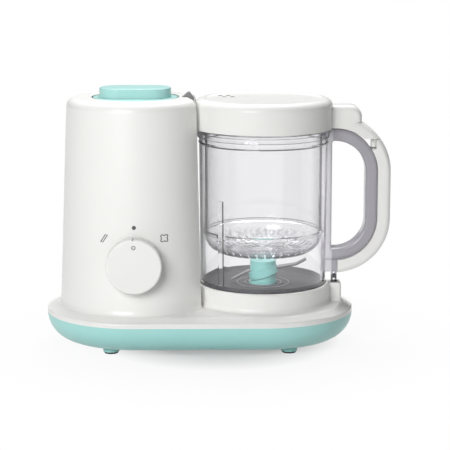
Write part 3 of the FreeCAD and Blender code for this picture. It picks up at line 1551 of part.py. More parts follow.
node(cut("jar_lid", fuse("lid_solid", lid_turned, arm_form), lid_port, *vents), "jar_lid")
turned(
    "lid_seal",
    "jar_x",
    rectangle("lid_skirt_radius + fit_gap", "lid_bore - fit_gap", "lid_seal_foot",
              "lid_seal_foot + lid_seal_height"),
    {1: "seal_ease", 2: "seal_ease"},
)

# Steam basket: a thin cup with a slotted bowl for its floor, hung on the jar's shelf by its flange.
steam_basket = turned(
    "steam_basket",
    "jar_x",
    [
        ("0", "basket_floor_level"),
        ("basket_radius", "basket_floor_level"),
        ("basket_radius", "jar_shelf + fit_gap"),
        ("basket_flange_radius", "jar_shelf + fit_gap"),
        ("basket_flange_radius", "jar_shelf + fit_gap + basket_flange_height"),
        ("basket_radius - basket_wall", "jar_shelf + fit_gap + basket_flange_height"),
        ("basket_radius - basket_wall", "basket_floor_level + basket_wall"),
        ("0", "basket_floor_level + basket_wall"),
    ],
    {1: "basket_bowl_round", 6: "basket_bowl_round - basket_wall"},
)


def basket_slots(name, inner, length, count):
    sketch = sketch_on(steam_basket, "XY_Plane", name, "basket_floor_level - basket_wall")
    outline(sketch, rectangle(inner, f"{inner} + {length}", "-basket_slot_width / 2", "basket_slot_width / 2"))
    repeat_round(steam_basket, pocket(steam_basket, sketch, "basket_bowl_round", True), count)


basket_slots("basket_outer_slot", "basket_slot_inner", "basket_slot_length", 40)
basket_slots("basket_inner_slot", "basket_inner_slot", "basket_inner_slot_length", 20)

# Blade base: the dark floor of the jar with its seal, lock ring and bush.
turned(
    "blade_base",
    "jar_x",
    [
        ("blade_bush_radius", "bush_level"),
        ("blade_boss_radius", "bush_level"),
        ("blade_boss_radius", "blade_floor_level - blade_floor_sheet"),
        ("blade_tube_radius - blade_tube_wall", "blade_floor_level - blade_floor_sheet"),
        ("blade_tube_radius - blade_tube_wall", "blade_tube_foot"),
        ("blade_tube_radius", "blade_tube_foot"),
        ("blade_tube_radius", "blade_base_foot"),
        ("blade_base_radius", "blade_base_foot"),
        ("blade_base_radius", "blade_base_edge"),
        ("blade_base_radius - blade_lip", "blade_base_edge"),
        ("blade_base_radius - blade_dish_run", "blade_floor_level + blade_dish_rise"),
        ("blade_ridge_radius + blade_ridge_step + blade_ridge_half", "blade_floor_level"),
        ("blade_ridge_radius + blade_ridge_step", "blade_floor_level + blade_ridge_height"),
        ("blade_ridge_radius + blade_ridge_step - blade_ridge_half", "blade_floor_level"),
        ("blade_ridge_radius + blade_ridge_half", "blade_floor_level"),
        ("blade_ridge_radius", "blade_floor_level + blade_ridge_height"),
        ("blade_ridge_radius - blade_ridge_half", "blade_floor_level"),
        ("blade_bush_radius", "blade_floor_level"),
    ],
    {10: "blade_dish_round"},
)
turned(
    "blade_base_seal",
    "jar_x",
    rectangle("blade_tube_radius", "blade_base_radius - fit_gap", "jar_ledge", "blade_base_foot"),
)
turned(
    "blade_lock_ring",
    "jar_x",
    rectangle("blade_tube_radius", "lock_ring_radius", "blade_tube_foot", "blade_tube_foot + lock_ring_height"),
    {1: "edge_ease"},
)
turned(
    "blade_bush",
    "jar_x",
    rectangle("blade_spindle_radius + running_gap", "blade_bush_radius",
              "bush_level", "bush_level + blade_bush_height"),
)

# Blade: a bent steel plate through a hub that turns with the driven coupling.
turned(
    "blade_spindle",
    "jar_x",
    rectangle("0", "blade_spindle_radius", "driven_level", "hub_level + hub_bore_depth"),
)
plate_rise = "(hub_level + blade_root_rise)"
plate_sketch = free_sketch(
    "plate_outline",
    [
        ("-blade_tail", "hub_level + blade_tail_rise"),
        ("-blade_bend", f"{plate_rise} - blade_bend * tan(blade_turn)"),
        ("blade_reach - blade_tip_length",
         f"{plate_rise} + (blade_reach - blade_tip_length) * tan(blade_turn)"),
        ("blade_reach", f"{plate_rise} + blade_reach * tan(blade_turn) + blade_tip_rise"),
        ("blade_reach - blade_sheet / 2",
         f"{plate_rise} + blade_reach * tan(blade_turn) + blade_tip_rise + blade_sheet"),
        ("blade_reach - blade_tip_length - blade_sheet / 4",
         f"{plate_rise} + (blade_reach - blade_tip_length) * tan(blade_turn) + blade_sheet"),
        ("-blade_bend", f"{plate_rise} - blade_bend * tan(blade_turn) + blade_sheet"),
        ("-blade_tail", "hub_level + blade_tail_rise + blade_sheet"),
    ],
    None,
    "jar_x",
)
plate_form = extruded("plate_form", plate_sketch, Vector(0, 1, 0), "blade_width", True)
plate_hole = cylinder("plate_hole", "blade_spindle_radius", "hub_height", "jar_x", "0", "hub_level")
plan_sketch = free_sketch(
    "plate_plan",
    [
        ("-blade_tail - 1", "-blade_width / 2 - 1"),
        ("-blade_tail * 0.8", "-blade_width / 2 - 1"),
        ("hub_radius", "-blade_width / 2 + blade_waist"),
        ("blade_reach", "-blade_point"),
        ("blade_reach + 1", "blade_width / 2 + 1"),
        ("blade_reach * 0.8", "blade_width / 2 + 1"),
        ("-hub_radius", "blade_width / 2 - blade_waist"),
        ("-blade_tail", "blade_point"),
    ],
    None,
    "jar_x",
    turn=Rotation(),
)
plate_plan = extruded("plate_plan_form", plan_sketch, Vector(0, 0, 1), "2 * collar_level")
plate_trim = common("plate_trim", plate_form, plate_plan)
blade_plate = node(cut("blade_plate", plate_trim, plate_hole), "blade_plate")
hub_body = cylinder("hub_body", "hub_radius", "hub_height", "jar_x", "0", "hub_level")
hub_foot = cylinder("hub_foot", "hub_foot_radius", "hub_foot_height", "jar_x", "0", "hub_level")
hub_band = cylinder("hub_band", "hub_band_radius", "hub_band_height",
                    "jar_x + hub_band_height / 2 * sin(hub_band_turn)", "0",
                    "hub_level + hub_band_rise - hub_band_height / 2 * cos(hub_band_turn)",
                    Rotation(Vector(0, -1, 0), amount("hub_band_turn")))
hub_groove_rise = "(hub_level + hub_band_rise - (hub_band_height / 2 + hub_groove_height) * cos(hub_band_turn))"
hub_groove_shift = "(hub_band_height / 2 + hub_groove_height) * sin(hub_band_turn)"
groove_outer = cylinder("groove_outer", "2 * hub_band_radius", "hub_groove_height",
                        f"jar_x + {hub_groove_shift}", "0", hub_groove_rise,
                        Rotation(Vector(0, -1, 0), amount("hub_band_turn")))
groove_core = cylinder("groove_core", "hub_radius - hub_groove_depth", "2 * hub_height", "jar_x", "0",
                       "hub_level - hub_height / 2")
hub_groove = cut("hub_groove", groove_outer, groove_core)
hub_bore = cylinder("hub_bore", "blade_spindle_radius", "hub_bore_depth + 1", "jar_x", "0", "hub_level - 1")
hub_slot = extruded(
    "hub_slot",
    free_sketch(
        "plate_slot_outline",
        [
            ("-hub_slot_reach", f"{plate_rise} - hub_slot_reach * tan(blade_turn) - running_gap"),
            ("hub_slot_reach", f"{plate_rise} + hub_slot_reach * tan(blade_turn) - running_gap"),
            ("hub_slot_reach", f"{plate_rise} + hub_slot_reach * tan(blade_turn) + blade_sheet + running_gap"),
            ("-hub_slot_reach", f"{plate_rise} - hub_slot_reach * tan(blade_turn) + blade_sheet + running_gap"),
        ],
        None,
        "jar_x",
    ),
    Vector(0, 1, 0),
    "blade_width + 2 * running_gap",
    True,
)
hub_solid = fuse("hub_solid", hub_body, hub_foot, hub_band)
node(cut("blade_hub", hub_solid, hub_bore, hub_slot, hub_groove), "blade_hub")

doc.recompute()

for item in doc.Objects:
    problems = [state for state in item.State if state in ("Invalid", "Error")]
    if problems:
        raise RuntimeError(f"{item.Name}: {problems}")
for item in nodes:
    shape = item.Shape
    if shape.isNull() or not shape.isValid() or not shape.Solids:
        raise RuntimeError(f"{item.Label}: not a valid solid")

os.makedirs("parts", exist_ok=True)
for item in nodes:
    item.Shape.exportStep(f"parts/{item.Label}.step")
    extent = item.Shape.BoundBox
    spans = f"x {extent.XMin:.2f}..{extent.XMax:.2f}  y {extent.YMin:.2f}..{extent.YMax:.2f}"
    print(f"{item.Label}: {len(item.Shape.Solids)} solid(s)  {spans}  z {extent.ZMin:.2f}..{extent.ZMax:.2f}")
print(len(nodes), "nodes written")
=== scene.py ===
import math

import bmesh
import bpy
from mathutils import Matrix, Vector


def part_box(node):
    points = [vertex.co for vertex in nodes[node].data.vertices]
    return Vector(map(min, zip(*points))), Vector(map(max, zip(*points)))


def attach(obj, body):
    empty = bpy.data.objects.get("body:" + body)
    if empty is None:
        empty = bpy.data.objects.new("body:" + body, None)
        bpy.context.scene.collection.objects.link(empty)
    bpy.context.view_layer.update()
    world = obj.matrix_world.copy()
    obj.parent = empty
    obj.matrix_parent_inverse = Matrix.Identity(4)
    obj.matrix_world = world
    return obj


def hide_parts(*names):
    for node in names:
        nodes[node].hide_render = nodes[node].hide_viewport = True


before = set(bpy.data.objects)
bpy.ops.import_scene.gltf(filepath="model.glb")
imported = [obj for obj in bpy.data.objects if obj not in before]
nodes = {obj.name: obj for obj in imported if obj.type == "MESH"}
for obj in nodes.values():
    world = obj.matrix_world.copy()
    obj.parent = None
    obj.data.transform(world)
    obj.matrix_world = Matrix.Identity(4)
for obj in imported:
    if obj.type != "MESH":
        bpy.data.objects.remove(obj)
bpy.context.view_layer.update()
scene = bpy.context.scene
mm = 0.001


def middleOf(node):
    low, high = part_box(node)
    return (low + high) / 2


towerX = middleOf("tank_cap").x
jarX = middleOf("blade_base").x
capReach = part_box("tank_cap")[1].x - towerX


class Amount:  # a socket that takes part in sums
    def __init__(self, graph, socket):
        self.graph = graph
        self.socket = socket

    def sum(self, operation, first, second):
        return self.graph.add("ShaderNodeMath", {"operation": operation}, {0: first, 1: second})

    def __add__(self, other):
        return self.sum("ADD", self, other)

    def __radd__(self, other):
        return self.sum("ADD", other, self)

    def __sub__(self, other):
        return self.sum("SUBTRACT", self, other)

    def __rsub__(self, other):
        return self.sum("SUBTRACT", other, self)

    def __mul__(self, other):
        return self.sum("MULTIPLY", self, other)

    def __rmul__(self, other):
        return self.sum("MULTIPLY", other, self)

    def __truediv__(self, other):
        return self.sum("DIVIDE", self, other)

    def __rtruediv__(self, other):
        return self.sum("DIVIDE", other, self)


class Graph:  # a node tree while it is being built
    def __init__(self, tree):
        self.tree = tree
        self.tree.nodes.clear()

    def add(self, kind, settings=None, sockets=None, output=0):
        node = self.tree.nodes.new(kind)
        for key, value in (settings or {}).items():
            setattr(node, key, value)
        for key, value in (sockets or {}).items():
            for part in value if isinstance(value, list) else [value]:
                if isinstance(part, Amount):
                    self.tree.links.new(part.socket, node.inputs[key])
                else:
                    node.inputs[key].default_value = part
        return Amount(self, node.outputs[output]) if node.outputs else None


class Finish(Graph):  # a material, or the room's light
    def __init__(self, owner):
        self.owner = owner
        self.owner.use_nodes = True
        super().__init__(owner.node_tree)

    def place(self):
        return self.add("ShaderNodeTexCoord", output="Object")

    def noise(self, scale, detail=2.0, stretch=None):
        place = self.place()
        if stretch:
            place = self.add("ShaderNodeMapping", {}, {"Vector": place, "Scale": stretch})
        return self.add("ShaderNodeTexNoise", {}, {"Vector": place, "Scale": scale, "Detail": detail}, "Fac")

    def blend(self, factor, first, second):
        return self.add("ShaderNodeMix", {"data_type": "RGBA"}, {0: factor, 6: first, 7: second}, 2)

    def drifting(self, factor, colour, darker, lighter):
        return self.blend(factor, shade(colour, darker), shade(colour, lighter))

    def bump(self, height, strength, distance):
        sockets = {"Height": height, "Strength": strength, "Distance": distance}
        return self.add("ShaderNodeBump", {}, sockets, "Normal")

    def along(self, axis):
        return self.add("ShaderNodeSeparateXYZ", {}, {"Vector": self.place()}, axis)

    def around(self, x, y):
        flat = self.add("ShaderNodeVectorMath", {"operation": "MULTIPLY"}, {0: self.place(), 1: (1, 1, 0)})
        return self.add("ShaderNodeVectorMath", {"operation": "DISTANCE"}, {0: flat, 1: (x, y, 0)}, "Value")

    def clamped(self, value):
        return self.add("ShaderNodeMath", {"operation": "ADD", "use_clamp": True}, {0: value, 1: 0.0})

    def seen(self, *rays):
        return self.clamped(sum(self.add("ShaderNodeLightPath", output=f"Is {ray} Ray") for ray in rays))

    def mixed(self, factor, first, second):
        return self.add("ShaderNodeMixShader", {}, {0: factor, 1: first, 2: second})

    def close(self, surface, volume=None, kind="ShaderNodeOutputMaterial"):
        links = {"Surface": surface}
        if volume is not None:
            links["Volume"] = volume
        self.add(kind, {}, links)
        return self.owner


class Former(Graph):  # a geometry tree with named sizes
    def __init__(self, name, sizes):
        super().__init__(bpy.data.node_groups.new(name, "GeometryNodeTree"))
        face = self.tree.interface
        face.new_socket("Spots", in_out="INPUT", socket_type="NodeSocketGeometry")
        self.keys = {}
        for label in sizes:
            self.keys[label] = face.new_socket(label, in_out="INPUT", socket_type="NodeSocketFloat").identifier
        face.new_socket("Mesh", in_out="OUTPUT", socket_type="NodeSocketGeometry")

    def size(self, label):
        return self.add("NodeGroupInput", output=label)

    def moved(self, mesh, z):
        place = self.add("ShaderNodeCombineXYZ", {}, {"Z": z})
        return self.add("GeometryNodeTransform", {}, {"Geometry": mesh, "Translation": place})

    def rod(self, low, high, height, sides):
        sockets = {"Vertices": sides, "Radius Bottom": low, "Radius Top": high, "Depth": height}
        return self.add("GeometryNodeMeshCone", {}, sockets, "Mesh")

    def block(self, x, y, z):
        size = self.add("ShaderNodeCombineXYZ", {}, {"X": x, "Y": y, "Z": z})
        return self.add("GeometryNodeMeshCube", {}, {"Size": size}, "Mesh")

    def circle(self, sides, radius):
        return self.add("GeometryNodeCurvePrimitiveCircle", {}, {"Resolution": sides, "Radius": radius}, "Curve")

    def swept(self, path, sides, radius):
        sockets = {"Curve": path, "Profile Curve": self.circle(sides, radius), "Fill Caps": True}
        return self.add("GeometryNodeCurveToMesh", {}, sockets)

    def without(self, mesh, tools):
        return self.add("GeometryNodeMeshBoolean", {"operation": "DIFFERENCE"}, {"Mesh 1": mesh, "Mesh 2": tools})

    def joined(self, *meshes):
        return self.add("GeometryNodeJoinGeometry", {}, {"Geometry": list(meshes)})

    def close(self, mesh, turn, finishName):
        sockets = {"Points": self.size("Spots"), "Instance": mesh,
                   "Rotation": self.add("ShaderNodeCombineXYZ", {}, {"X": turn})}
        solid = self.add("GeometryNodeRealizeInstances", {}, {
            "Geometry": self.add("GeometryNodeInstanceOnPoints", {}, sockets)})
        dressed = self.add("GeometryNodeSetMaterial", {}, {"Geometry": solid, "Material": finishes[finishName]})
        self.add("NodeGroupOutput", {}, {"Mesh": dressed})


def newFinish(name):
    return Finish(bpy.data.materials.new(name))


def opaque(colour):
    return colour + (1.0,)


def shade(colour, amount):
    return opaque(tuple(min(1.0, part * amount) for part in colour))


# Moulded plastics: a slow drift of tone, a fine spark-eroded grain and a slightly uneven gloss.
plasticLooks = {
    "mintPlastic": {"colour": (0.40, 0.74, 0.715), "drift": 0.02, "rough": 0.36, "gloss": 0.07,
                    "grain": 0.10, "grainScale": 2400, "coat": 0.05},
    # the cap: a painted shadow ring in the gap round its flange
    "mintCap": {"colour": (0.40, 0.68, 0.655), "drift": 0.02, "rough": 0.36, "gloss": 0.07,
                "grain": 0.10, "grainScale": 2400, "coat": 0.05,
                "seamShadow": {"inset": 0.9 * mm, "fade": 0.3 * mm, "colour": (0.045, 0.065, 0.065)}},
    "mintHub": {"colour": (0.21, 0.465, 0.44), "drift": 0.06, "rough": 0.30, "gloss": 0.06,
                "grain": 0.06, "grainScale": 2000, "coat": 0.10},
    "whitePlastic": {"colour": (0.865, 0.865, 0.845), "drift": 0.012, "rough": 0.33, "gloss": 0.06,
                     "grain": 0.07, "grainScale": 2600, "coat": 0.08},
    "whiteGloss": {"colour": (0.865, 0.865, 0.845), "drift": 0.012, "rough": 0.24, "gloss": 0.05,
                   "grain": 0.03, "grainScale": 2600, "coat": 0.15},
    "darkPlastic": {"colour": (0.105, 0.102, 0.112), "drift": 0.08, "rough": 0.40, "gloss": 0.08,
                    "grain": 0.12, "grainScale": 1800, "coat": 0.0},
    "switchPlastic": {"colour": (0.035, 0.035, 0.038), "drift": 0.15, "rough": 0.50, "gloss": 0.10,
                      "grain": 0.15, "grainScale": 1500, "coat": 0.0},
    "greySilicone": {"colour": (0.30, 0.30, 0.31), "drift": 0.06, "rough": 0.62, "gloss": 0.08,
                     "grain": 0.20, "grainScale": 1400, "coat": 0.0},
    "darkSilicone": {"colour": (0.20, 0.20, 0.205), "drift": 0.06, "rough": 0.62, "gloss": 0.08,
                     "grain": 0.20, "grainScale": 1400, "coat": 0.0},
    "blackRubber": {"colour": (0.030, 0.030, 0.033), "drift": 0.25, "rough": 0.72, "gloss": 0.10,
                    "grain": 0.30, "grainScale": 1100, "coat": 0.0},
    "markInk": {"colour": (0.085, 0.085, 0.090), "drift": 0.12, "rough": 0.52, "gloss": 0.05,
                "grain": 0.04, "grainScale": 3000, "coat": 0.0},
}
moulding = {"toneScale": 22, "toneDetail": 3.0, "glossScale": 60, "grainDepth": 0.15 * mm, "grainGloss": 0.04,
            "coatRough": 0.12}


def mouldedPlastic(name):
    look = plasticLooks[name]
    finish = newFinish(name)
    tone = finish.noise(moulding["toneScale"], moulding["toneDetail"])
    grain = finish.noise(look["grainScale"])
    gloss = finish.noise(moulding["glossScale"])
    colour = finish.drifting(tone, look["colour"], 1 - look["drift"], 1 + look["drift"])
    if "seamShadow" in look:  # painted shadow: the cap's flange darkened at its rim, where the gap round it falls in shade
        seamShadow = look["seamShadow"]
        past = finish.around(towerX, 0) - (capReach - seamShadow["inset"])
        colour = finish.blend(finish.clamped(past / seamShadow["fade"]), colour, opaque(seamShadow["colour"]))
    body = finish.add("ShaderNodeBsdfPrincipled", {}, {
        "Base Color": colour,
        "Roughness": look["rough"] + (gloss - 0.5) * look["gloss"] + (grain - 0.5) * moulding["grainGloss"],
        "Normal": finish.bump(grain, look["grain"], moulding["grainDepth"]),
        "Coat Weight": look["coat"],
        "Coat Roughness": moulding["coatRough"],
    })
    return finish.close(body)


# Clear plastics: tinted through their thickness, with faint smears in the polish and a grey mottle below a set height.
clearLooks = {
    "clearJar": {"rough": 0.015, "smear": 0.02, "ior": 1.50, "mottleScale": 90, "mottleTop": 56 * mm,
                 "mottleFade": 10 * mm, "mottleTint": (0.98, 0.98, 0.985), "lowRough": 0.0},
    "clearBasket": {"rough": 0.03, "smear": 0.04, "ior": 1.45, "mottleScale": 330, "mottleTop": 93 * mm,
                    "mottleFade": 4 * mm, "mottleTint": (0.72, 0.72, 0.75), "lowRough": 0.04},
}
clearing = {"tint": (1.0, 1.0, 1.0), "through": (0.56, 0.54, 0.63), "density": 40, "smearScale": 45, "smearDetail": 3.0,
            "smearStretch": (1, 1, 0.3), "mottleFrom": 0.42, "mottleGain": 6, "bump": 0.12, "bumpDepth": 0.3 * mm}


def clearPlastic(name):
    look = clearLooks[name]
    finish = newFinish(name)
    smear = finish.noise(clearing["smearScale"], clearing["smearDetail"], clearing["smearStretch"])
    lowPart = finish.clamped((look["mottleTop"] - finish.along("Z")) / look["mottleFade"])
    mottle = finish.clamped((finish.noise(look["mottleScale"]) - clearing["mottleFrom"]) * clearing["mottleGain"])
    body = finish.add("ShaderNodeBsdfPrincipled", {}, {
        "Base Color": finish.blend(lowPart * mottle, opaque(clearing["tint"]), opaque(look["mottleTint"])),
        "Roughness": look["rough"] + smear * look["smear"] + lowPart * look["lowRough"],
        "Normal": finish.bump(lowPart * mottle, clearing["bump"], clearing["bumpDepth"]),
        "IOR": look["ior"],
        "Transmission Weight": 1.0,
    })
    depth = finish.add("ShaderNodeVolumeAbsorption", {}, {
        "Color": opaque(clearing["through"]), "Density": clearing["density"]})
    return finish.close(body, depth)


# The jar's floor: dark, with painted highlights along the two ridges round the hub.
dishLook = {"colour": (0.034, 0.033, 0.038), "darker": 0.85, "lighter": 1.2, "ridgeGlint": (0.36, 0.36, 0.38),
            "rings": (16 * mm, 23 * mm), "half": 0.9 * mm, "glintShare": 0.8, "rough": 0.55, "uneven": 0.1,
            "driftScale": 30, "driftDetail": 3.0, "grain": 0.10, "grainScale": 1800, "grainDepth": 0.1 * mm,
            "shine": 0.22}


def dishPlastic(name):
    finish = newFinish(name)
    reach = finish.around(jarX, 0)
    drift = finish.noise(dishLook["driftScale"], dishLook["driftDetail"])
    offsets = [finish.add("ShaderNodeMath", {"operation": "ABSOLUTE"}, {0: reach - ring}) for ring in dishLook["rings"]]
    # painted highlight: pale rings where the floor's two ridges catch the light
    rings = sum(finish.clamped(1 - offset / dishLook["half"]) for offset in offsets)
    colour = finish.drifting(drift, dishLook["colour"], dishLook["darker"], dishLook["lighter"])
    body = finish.add("ShaderNodeBsdfPrincipled", {}, {
        "Base Color": finish.blend(rings * dishLook["glintShare"], colour, opaque(dishLook["ridgeGlint"])),
        "Roughness": dishLook["rough"] + (drift - 0.5) * dishLook["uneven"],
        "Normal": finish.bump(finish.noise(dishLook["grainScale"]), dishLook["grain"], dishLook["grainDepth"]),
        "Specular IOR Level": dishLook["shine"],
    })
    return finish.close(body)


# The lid: satin white, with painted shade inside its four vents.
lidLook = {"colour": (0.835, 0.835, 0.815), "drift": 0.012, "inside": (0.10, 0.10, 0.105), "rough": 0.24, "gloss": 0.05,
           "grain": 0.03, "grainScale": 2600, "shine": 0.2, "ventRadius": 2.3 * mm, "ventEdge": 0.15 * mm,
           "ventCentre": (-32.04 * mm, 18.5 * mm), "ventSpread": 3.5 * mm, "ventRows": 5.0 * mm,
           "vents": ((-1.5, 1), (0.5, 1), (-0.5, -1), (1.5, -1))}


def lidPlastic(name):
    finish = newFinish(name)
    tone = finish.noise(moulding["toneScale"], moulding["toneDetail"])
    vents = []
    for across, along in lidLook["vents"]:
        x = jarX + lidLook["ventCentre"][0] + across * lidLook["ventSpread"]
        y = lidLook["ventCentre"][1] + along * lidLook["ventRows"]
        vents.append(finish.clamped((lidLook["ventRadius"] - finish.around(x, y)) / lidLook["ventEdge"]))
    colour = finish.drifting(tone, lidLook["colour"], 1 - lidLook["drift"], 1 + lidLook["drift"])
    body = finish.add("ShaderNodeBsdfPrincipled", {}, {
        # painted shade: the vents' walls darkened where shade falls in the holes
        "Base Color": finish.blend(sum(vents), colour, opaque(lidLook["inside"])),
        "Roughness": lidLook["rough"] + (finish.noise(moulding["glossScale"]) - 0.5) * lidLook["gloss"],
        "Normal": finish.bump(finish.noise(lidLook["grainScale"]), lidLook["grain"], moulding["grainDepth"]),
        "Specular IOR Level": lidLook["shine"],
    })
    return finish.close(body)


# The handle's smoky inner half: paler along its spine, dark at the prong.
smokeLook = {"colour": (0.47, 0.46, 0.50), "darker": 0.95, "lighter": 1.06, "rough": 0.16, "smear": 0.06,
             "through": 0.35, "ior": 1.46, "smearScale": 40, "smearDetail": 3.0, "flowScale": 120,
             "flowStretch": (1, 1, 0.2), "bump": 0.02, "bumpDepth": 0.2 * mm,
             "prongColour": (0.10, 0.10, 0.11), "prongTop": 60 * mm, "prongFade": 1.5 * mm,
             "spineColour": (0.80, 0.79, 0.83), "spineReach": 60.5 * mm, "spineFade": 1.2 * mm}


def smokePlastic(name):
    finish = newFinish(name)
    smear = finish.noise(smokeLook["smearScale"], smokeLook["smearDetail"])
    flow = finish.noise(smokeLook["flowScale"], stretch=smokeLook["flowStretch"])
    colour = finish.drifting(smear, smokeLook["colour"], smokeLook["darker"], smokeLook["lighter"])
    spine = finish.clamped((jarX + smokeLook["spineReach"] - finish.along("X")) / smokeLook["spineFade"])
    colour = finish.blend(spine, colour, opaque(smokeLook["spineColour"]))
    prong = finish.clamped((smokeLook["prongTop"] - finish.along("Z")) / smokeLook["prongFade"])
    body = finish.add("ShaderNodeBsdfPrincipled", {}, {
        "Base Color": finish.blend(prong, colour, opaque(smokeLook["prongColour"])),
        "Roughness": smokeLook["rough"] + flow * smokeLook["smear"],
        "IOR": smokeLook["ior"],
        "Transmission Weight": smokeLook["through"],
        "Normal": finish.bump(flow, smokeLook["bump"], smokeLook["bumpDepth"]),
    })
    return finish.close(body)


# Metals: fine tool marks along one direction over a slow change of tone.
metalLooks = {
    "steelFinish": {"colour": (0.62, 0.62, 0.635), "rough": 0.26, "marks": 0.16, "scale": 260, "stretch": (1, 30, 30)},
    "bladeSteel": {"colour": (0.20, 0.20, 0.21), "rough": 0.34, "marks": 0.16, "scale": 260, "stretch": (1, 30, 30)},
    "steelTurned": {"colour": (0.60, 0.60, 0.61), "rough": 0.30, "marks": 0.14, "scale": 240, "stretch": (1, 1, 26)},
    "aluminiumSheet": {"colour": (0.74, 0.74, 0.75), "rough": 0.38, "marks": 0.12, "scale": 200, "stretch": (1, 1, 22)},
    "brassTurned": {"colour": (0.68, 0.50, 0.22), "rough": 0.28, "marks": 0.12, "scale": 260, "stretch": (1, 1, 24)},
}
working = {"markDetail": 3.0, "toneScale": 30, "darker": 0.92, "lighter": 1.06, "bump": 0.05, "bumpDepth": 0.1 * mm}


def machinedMetal(name):
    look = metalLooks[name]
    finish = newFinish(name)
    marks = finish.noise(look["scale"], working["markDetail"], look["stretch"])
    tone = finish.noise(working["toneScale"])
    body = finish.add("ShaderNodeBsdfPrincipled", {}, {
        "Base Color": finish.drifting(tone, look["colour"], working["darker"], working["lighter"]),
        "Metallic": 1.0,
        "Roughness": look["rough"] + (marks - 0.5) * look["marks"],
        "Normal": finish.bump(marks, working["bump"], working["bumpDepth"]),
    })
    return finish.close(body)


boardLook = {"mask": (0.030, 0.150, 0.065), "lighter": 1.15, "trace": (0.065, 0.26, 0.12), "traceWidth": 0.03,
             "pitch": 420, "offset": 0.5, "rough": 0.32, "uneven": 0.1, "unevenScale": 50}


def circuitBoard(name):
    finish = newFinish(name)
    cells = finish.add("ShaderNodeTexBrick", {"offset": boardLook["offset"]}, {
        "Vector": finish.place(), "Scale": boardLook["pitch"], "Mortar Size": boardLook["traceWidth"],
        "Color1": opaque(boardLook["mask"]), "Color2": shade(boardLook["mask"], boardLook["lighter"]),
        "Mortar": opaque(boardLook["trace"])}, "Color")
    body = finish.add("ShaderNodeBsdfPrincipled", {}, {
        "Base Color": cells,
        "Roughness": boardLook["rough"] + finish.noise(boardLook["unevenScale"]) * boardLook["uneven"],
    })
    return finish.close(body)


finishes = {name: mouldedPlastic(name) for name in plasticLooks}
finishes.update({name: clearPlastic(name) for name in clearLooks})
finishes.update({name: machinedMetal(name) for name in metalLooks})
finishes["smokePlastic"] = smokePlastic("smokePlastic")
finishes["boardGreen"] = circuitBoard("boardGreen")
finishes["dishPlastic"] = dishPlastic("dishPlastic")
finishes["lidPlastic"] = lidPlastic("lidPlastic")
print("finishes:", len(finishes))

nodeFinishes = {
    "mintPlastic": ["base_shell"],
    "mintCap": ["tank_cap"],
    "mintHub": ["blade_hub"],
    "whitePlastic": ["main_housing", "filler_ring"],
    "whiteGloss": ["control_knob", "handle_cover"],
    "lidPlastic": ["jar_lid"],
    "dishPlastic": ["blade_base"],
    "clearJar": ["jar_body"],
    "clearBasket": ["steam_basket"],
    "smokePlastic": ["handle_frame"],
    "darkPlastic": ["blade_lock_ring", "drive_coupling", "driven_coupling"],
    "switchPlastic": ["rotary_switch", "interlock_switch", "interlock_button", "thermostat", "motor_pulley",
                      "drive_pulley"],
    "darkSilicone": ["steam_nozzle"],
    "greySilicone": ["steam_tube", "tank_gasket", "tank_cap_seal", "lid_seal", "blade_base_seal"],
    "blackRubber": ["foot_pads", "cord_gland", "drive_belt", "shaft_seal"],
    "bladeSteel": ["blade_plate"],
    "steelFinish": ["motor_bracket", "spindle_clip"],
    "steelTurned": ["base_screws", "motor_can", "motor_rotor", "motor_screws", "drive_bearings", "drive_spindle",
                    "blade_spindle", "knob_shaft"],
    "aluminiumSheet": ["boiler_tank", "heater_plate"],
    "brassTurned": ["motor_bushes", "switch_nut", "blade_bush"],
    "boardGreen": ["control_board"],
}
for finishName, members in nodeFinishes.items():
    for member in members:
        nodes[member].data.materials.clear()
        nodes[member].data.materials.append(finishes[finishName])
left = sorted(set(nodes) - {member for members in nodeFinishes.values() for member in members})
print("nodes dressed:", len(nodes) - len(left), "left plain:", left)
for member in ("jar_body", "steam_basket"):
    nodes[member].visible_shadow = False  # light passes the clear walls


def placed(name, mesh):
    piece = bpy.data.objects.new(name, mesh)
    scene.collection.objects.link(piece)
    return piece


def carried(piece, body):
    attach(piece, body)
    return piece


def pieceFrom(form, name, finishName, body):
    mesh = bpy.data.meshes.new(name)
    bmesh.ops.recalc_face_normals(form, faces=form.faces)
    form.to_mesh(mesh)
    form.free()
    mesh.materials.append(finishes[finishName])
    return carried(placed(name, mesh), body)


# Printed marks: thin strokes laid on the tower's wall or the knob's face.
towerWall = {"footLevel": 36.5 * mm, "footRadius": 66.8 * mm, "topLevel": 216 * mm, "topRadius": 59.4 * mm}


def onTower(across, level, lift):
    share = (level - towerWall["footLevel"]) / (towerWall["topLevel"] - towerWall["footLevel"])
    radius = towerWall["footRadius"] + share * (towerWall["topRadius"] - towerWall["footRadius"])
    return Vector((towerX + across, -math.sqrt(radius ** 2 - across ** 2) - lift, level))


def strip(form, rows):
    corners = len(rows[0])
    for row, following in zip(rows, rows[1:]):
        for corner in range(corners):
            after = (corner + 1) % corners
            form.faces.new((row[corner], row[after], following[after], following[corner]))


def stroke(form, spots, width, thickness, surface):
    rows = []
    for index, (across, level) in enumerate(spots):
        before, after = spots[index - 1], spots[(index + 1) % len(spots)]
        way = Vector((after[0] - before[0], after[1] - before[1])).normalized()
        side = Vector((-way.y, way.x)) * width / 2
        rows.append([form.verts.new(surface(across + sign * side.x, level + sign * side.y, lift))
                     for sign, lift in ((1, thickness), (-1, thickness), (-1, -thickness), (1, -thickness))])
    strip(form, rows + rows[:1])


def disc(form, spots, thickness, surface):
    rings = [[form.verts.new(surface(across, level, lift)) for across, level in spots]
             for lift in (thickness, -thickness)]
    form.faces.new(rings[0])
    form.faces.new(rings[1][::-1])
    strip(form, rings)


def roundSpots(level, radius, steps, across=0.0, lobes=0, swell=0.0):
    spots = []
    for step in range(steps):
        turn = 2 * math.pi * step / steps
        reach = radius * (1 - swell * math.cos(lobes * turn))
        spots.append((across + reach * math.cos(turn), level + reach * math.sin(turn)))
    return spots


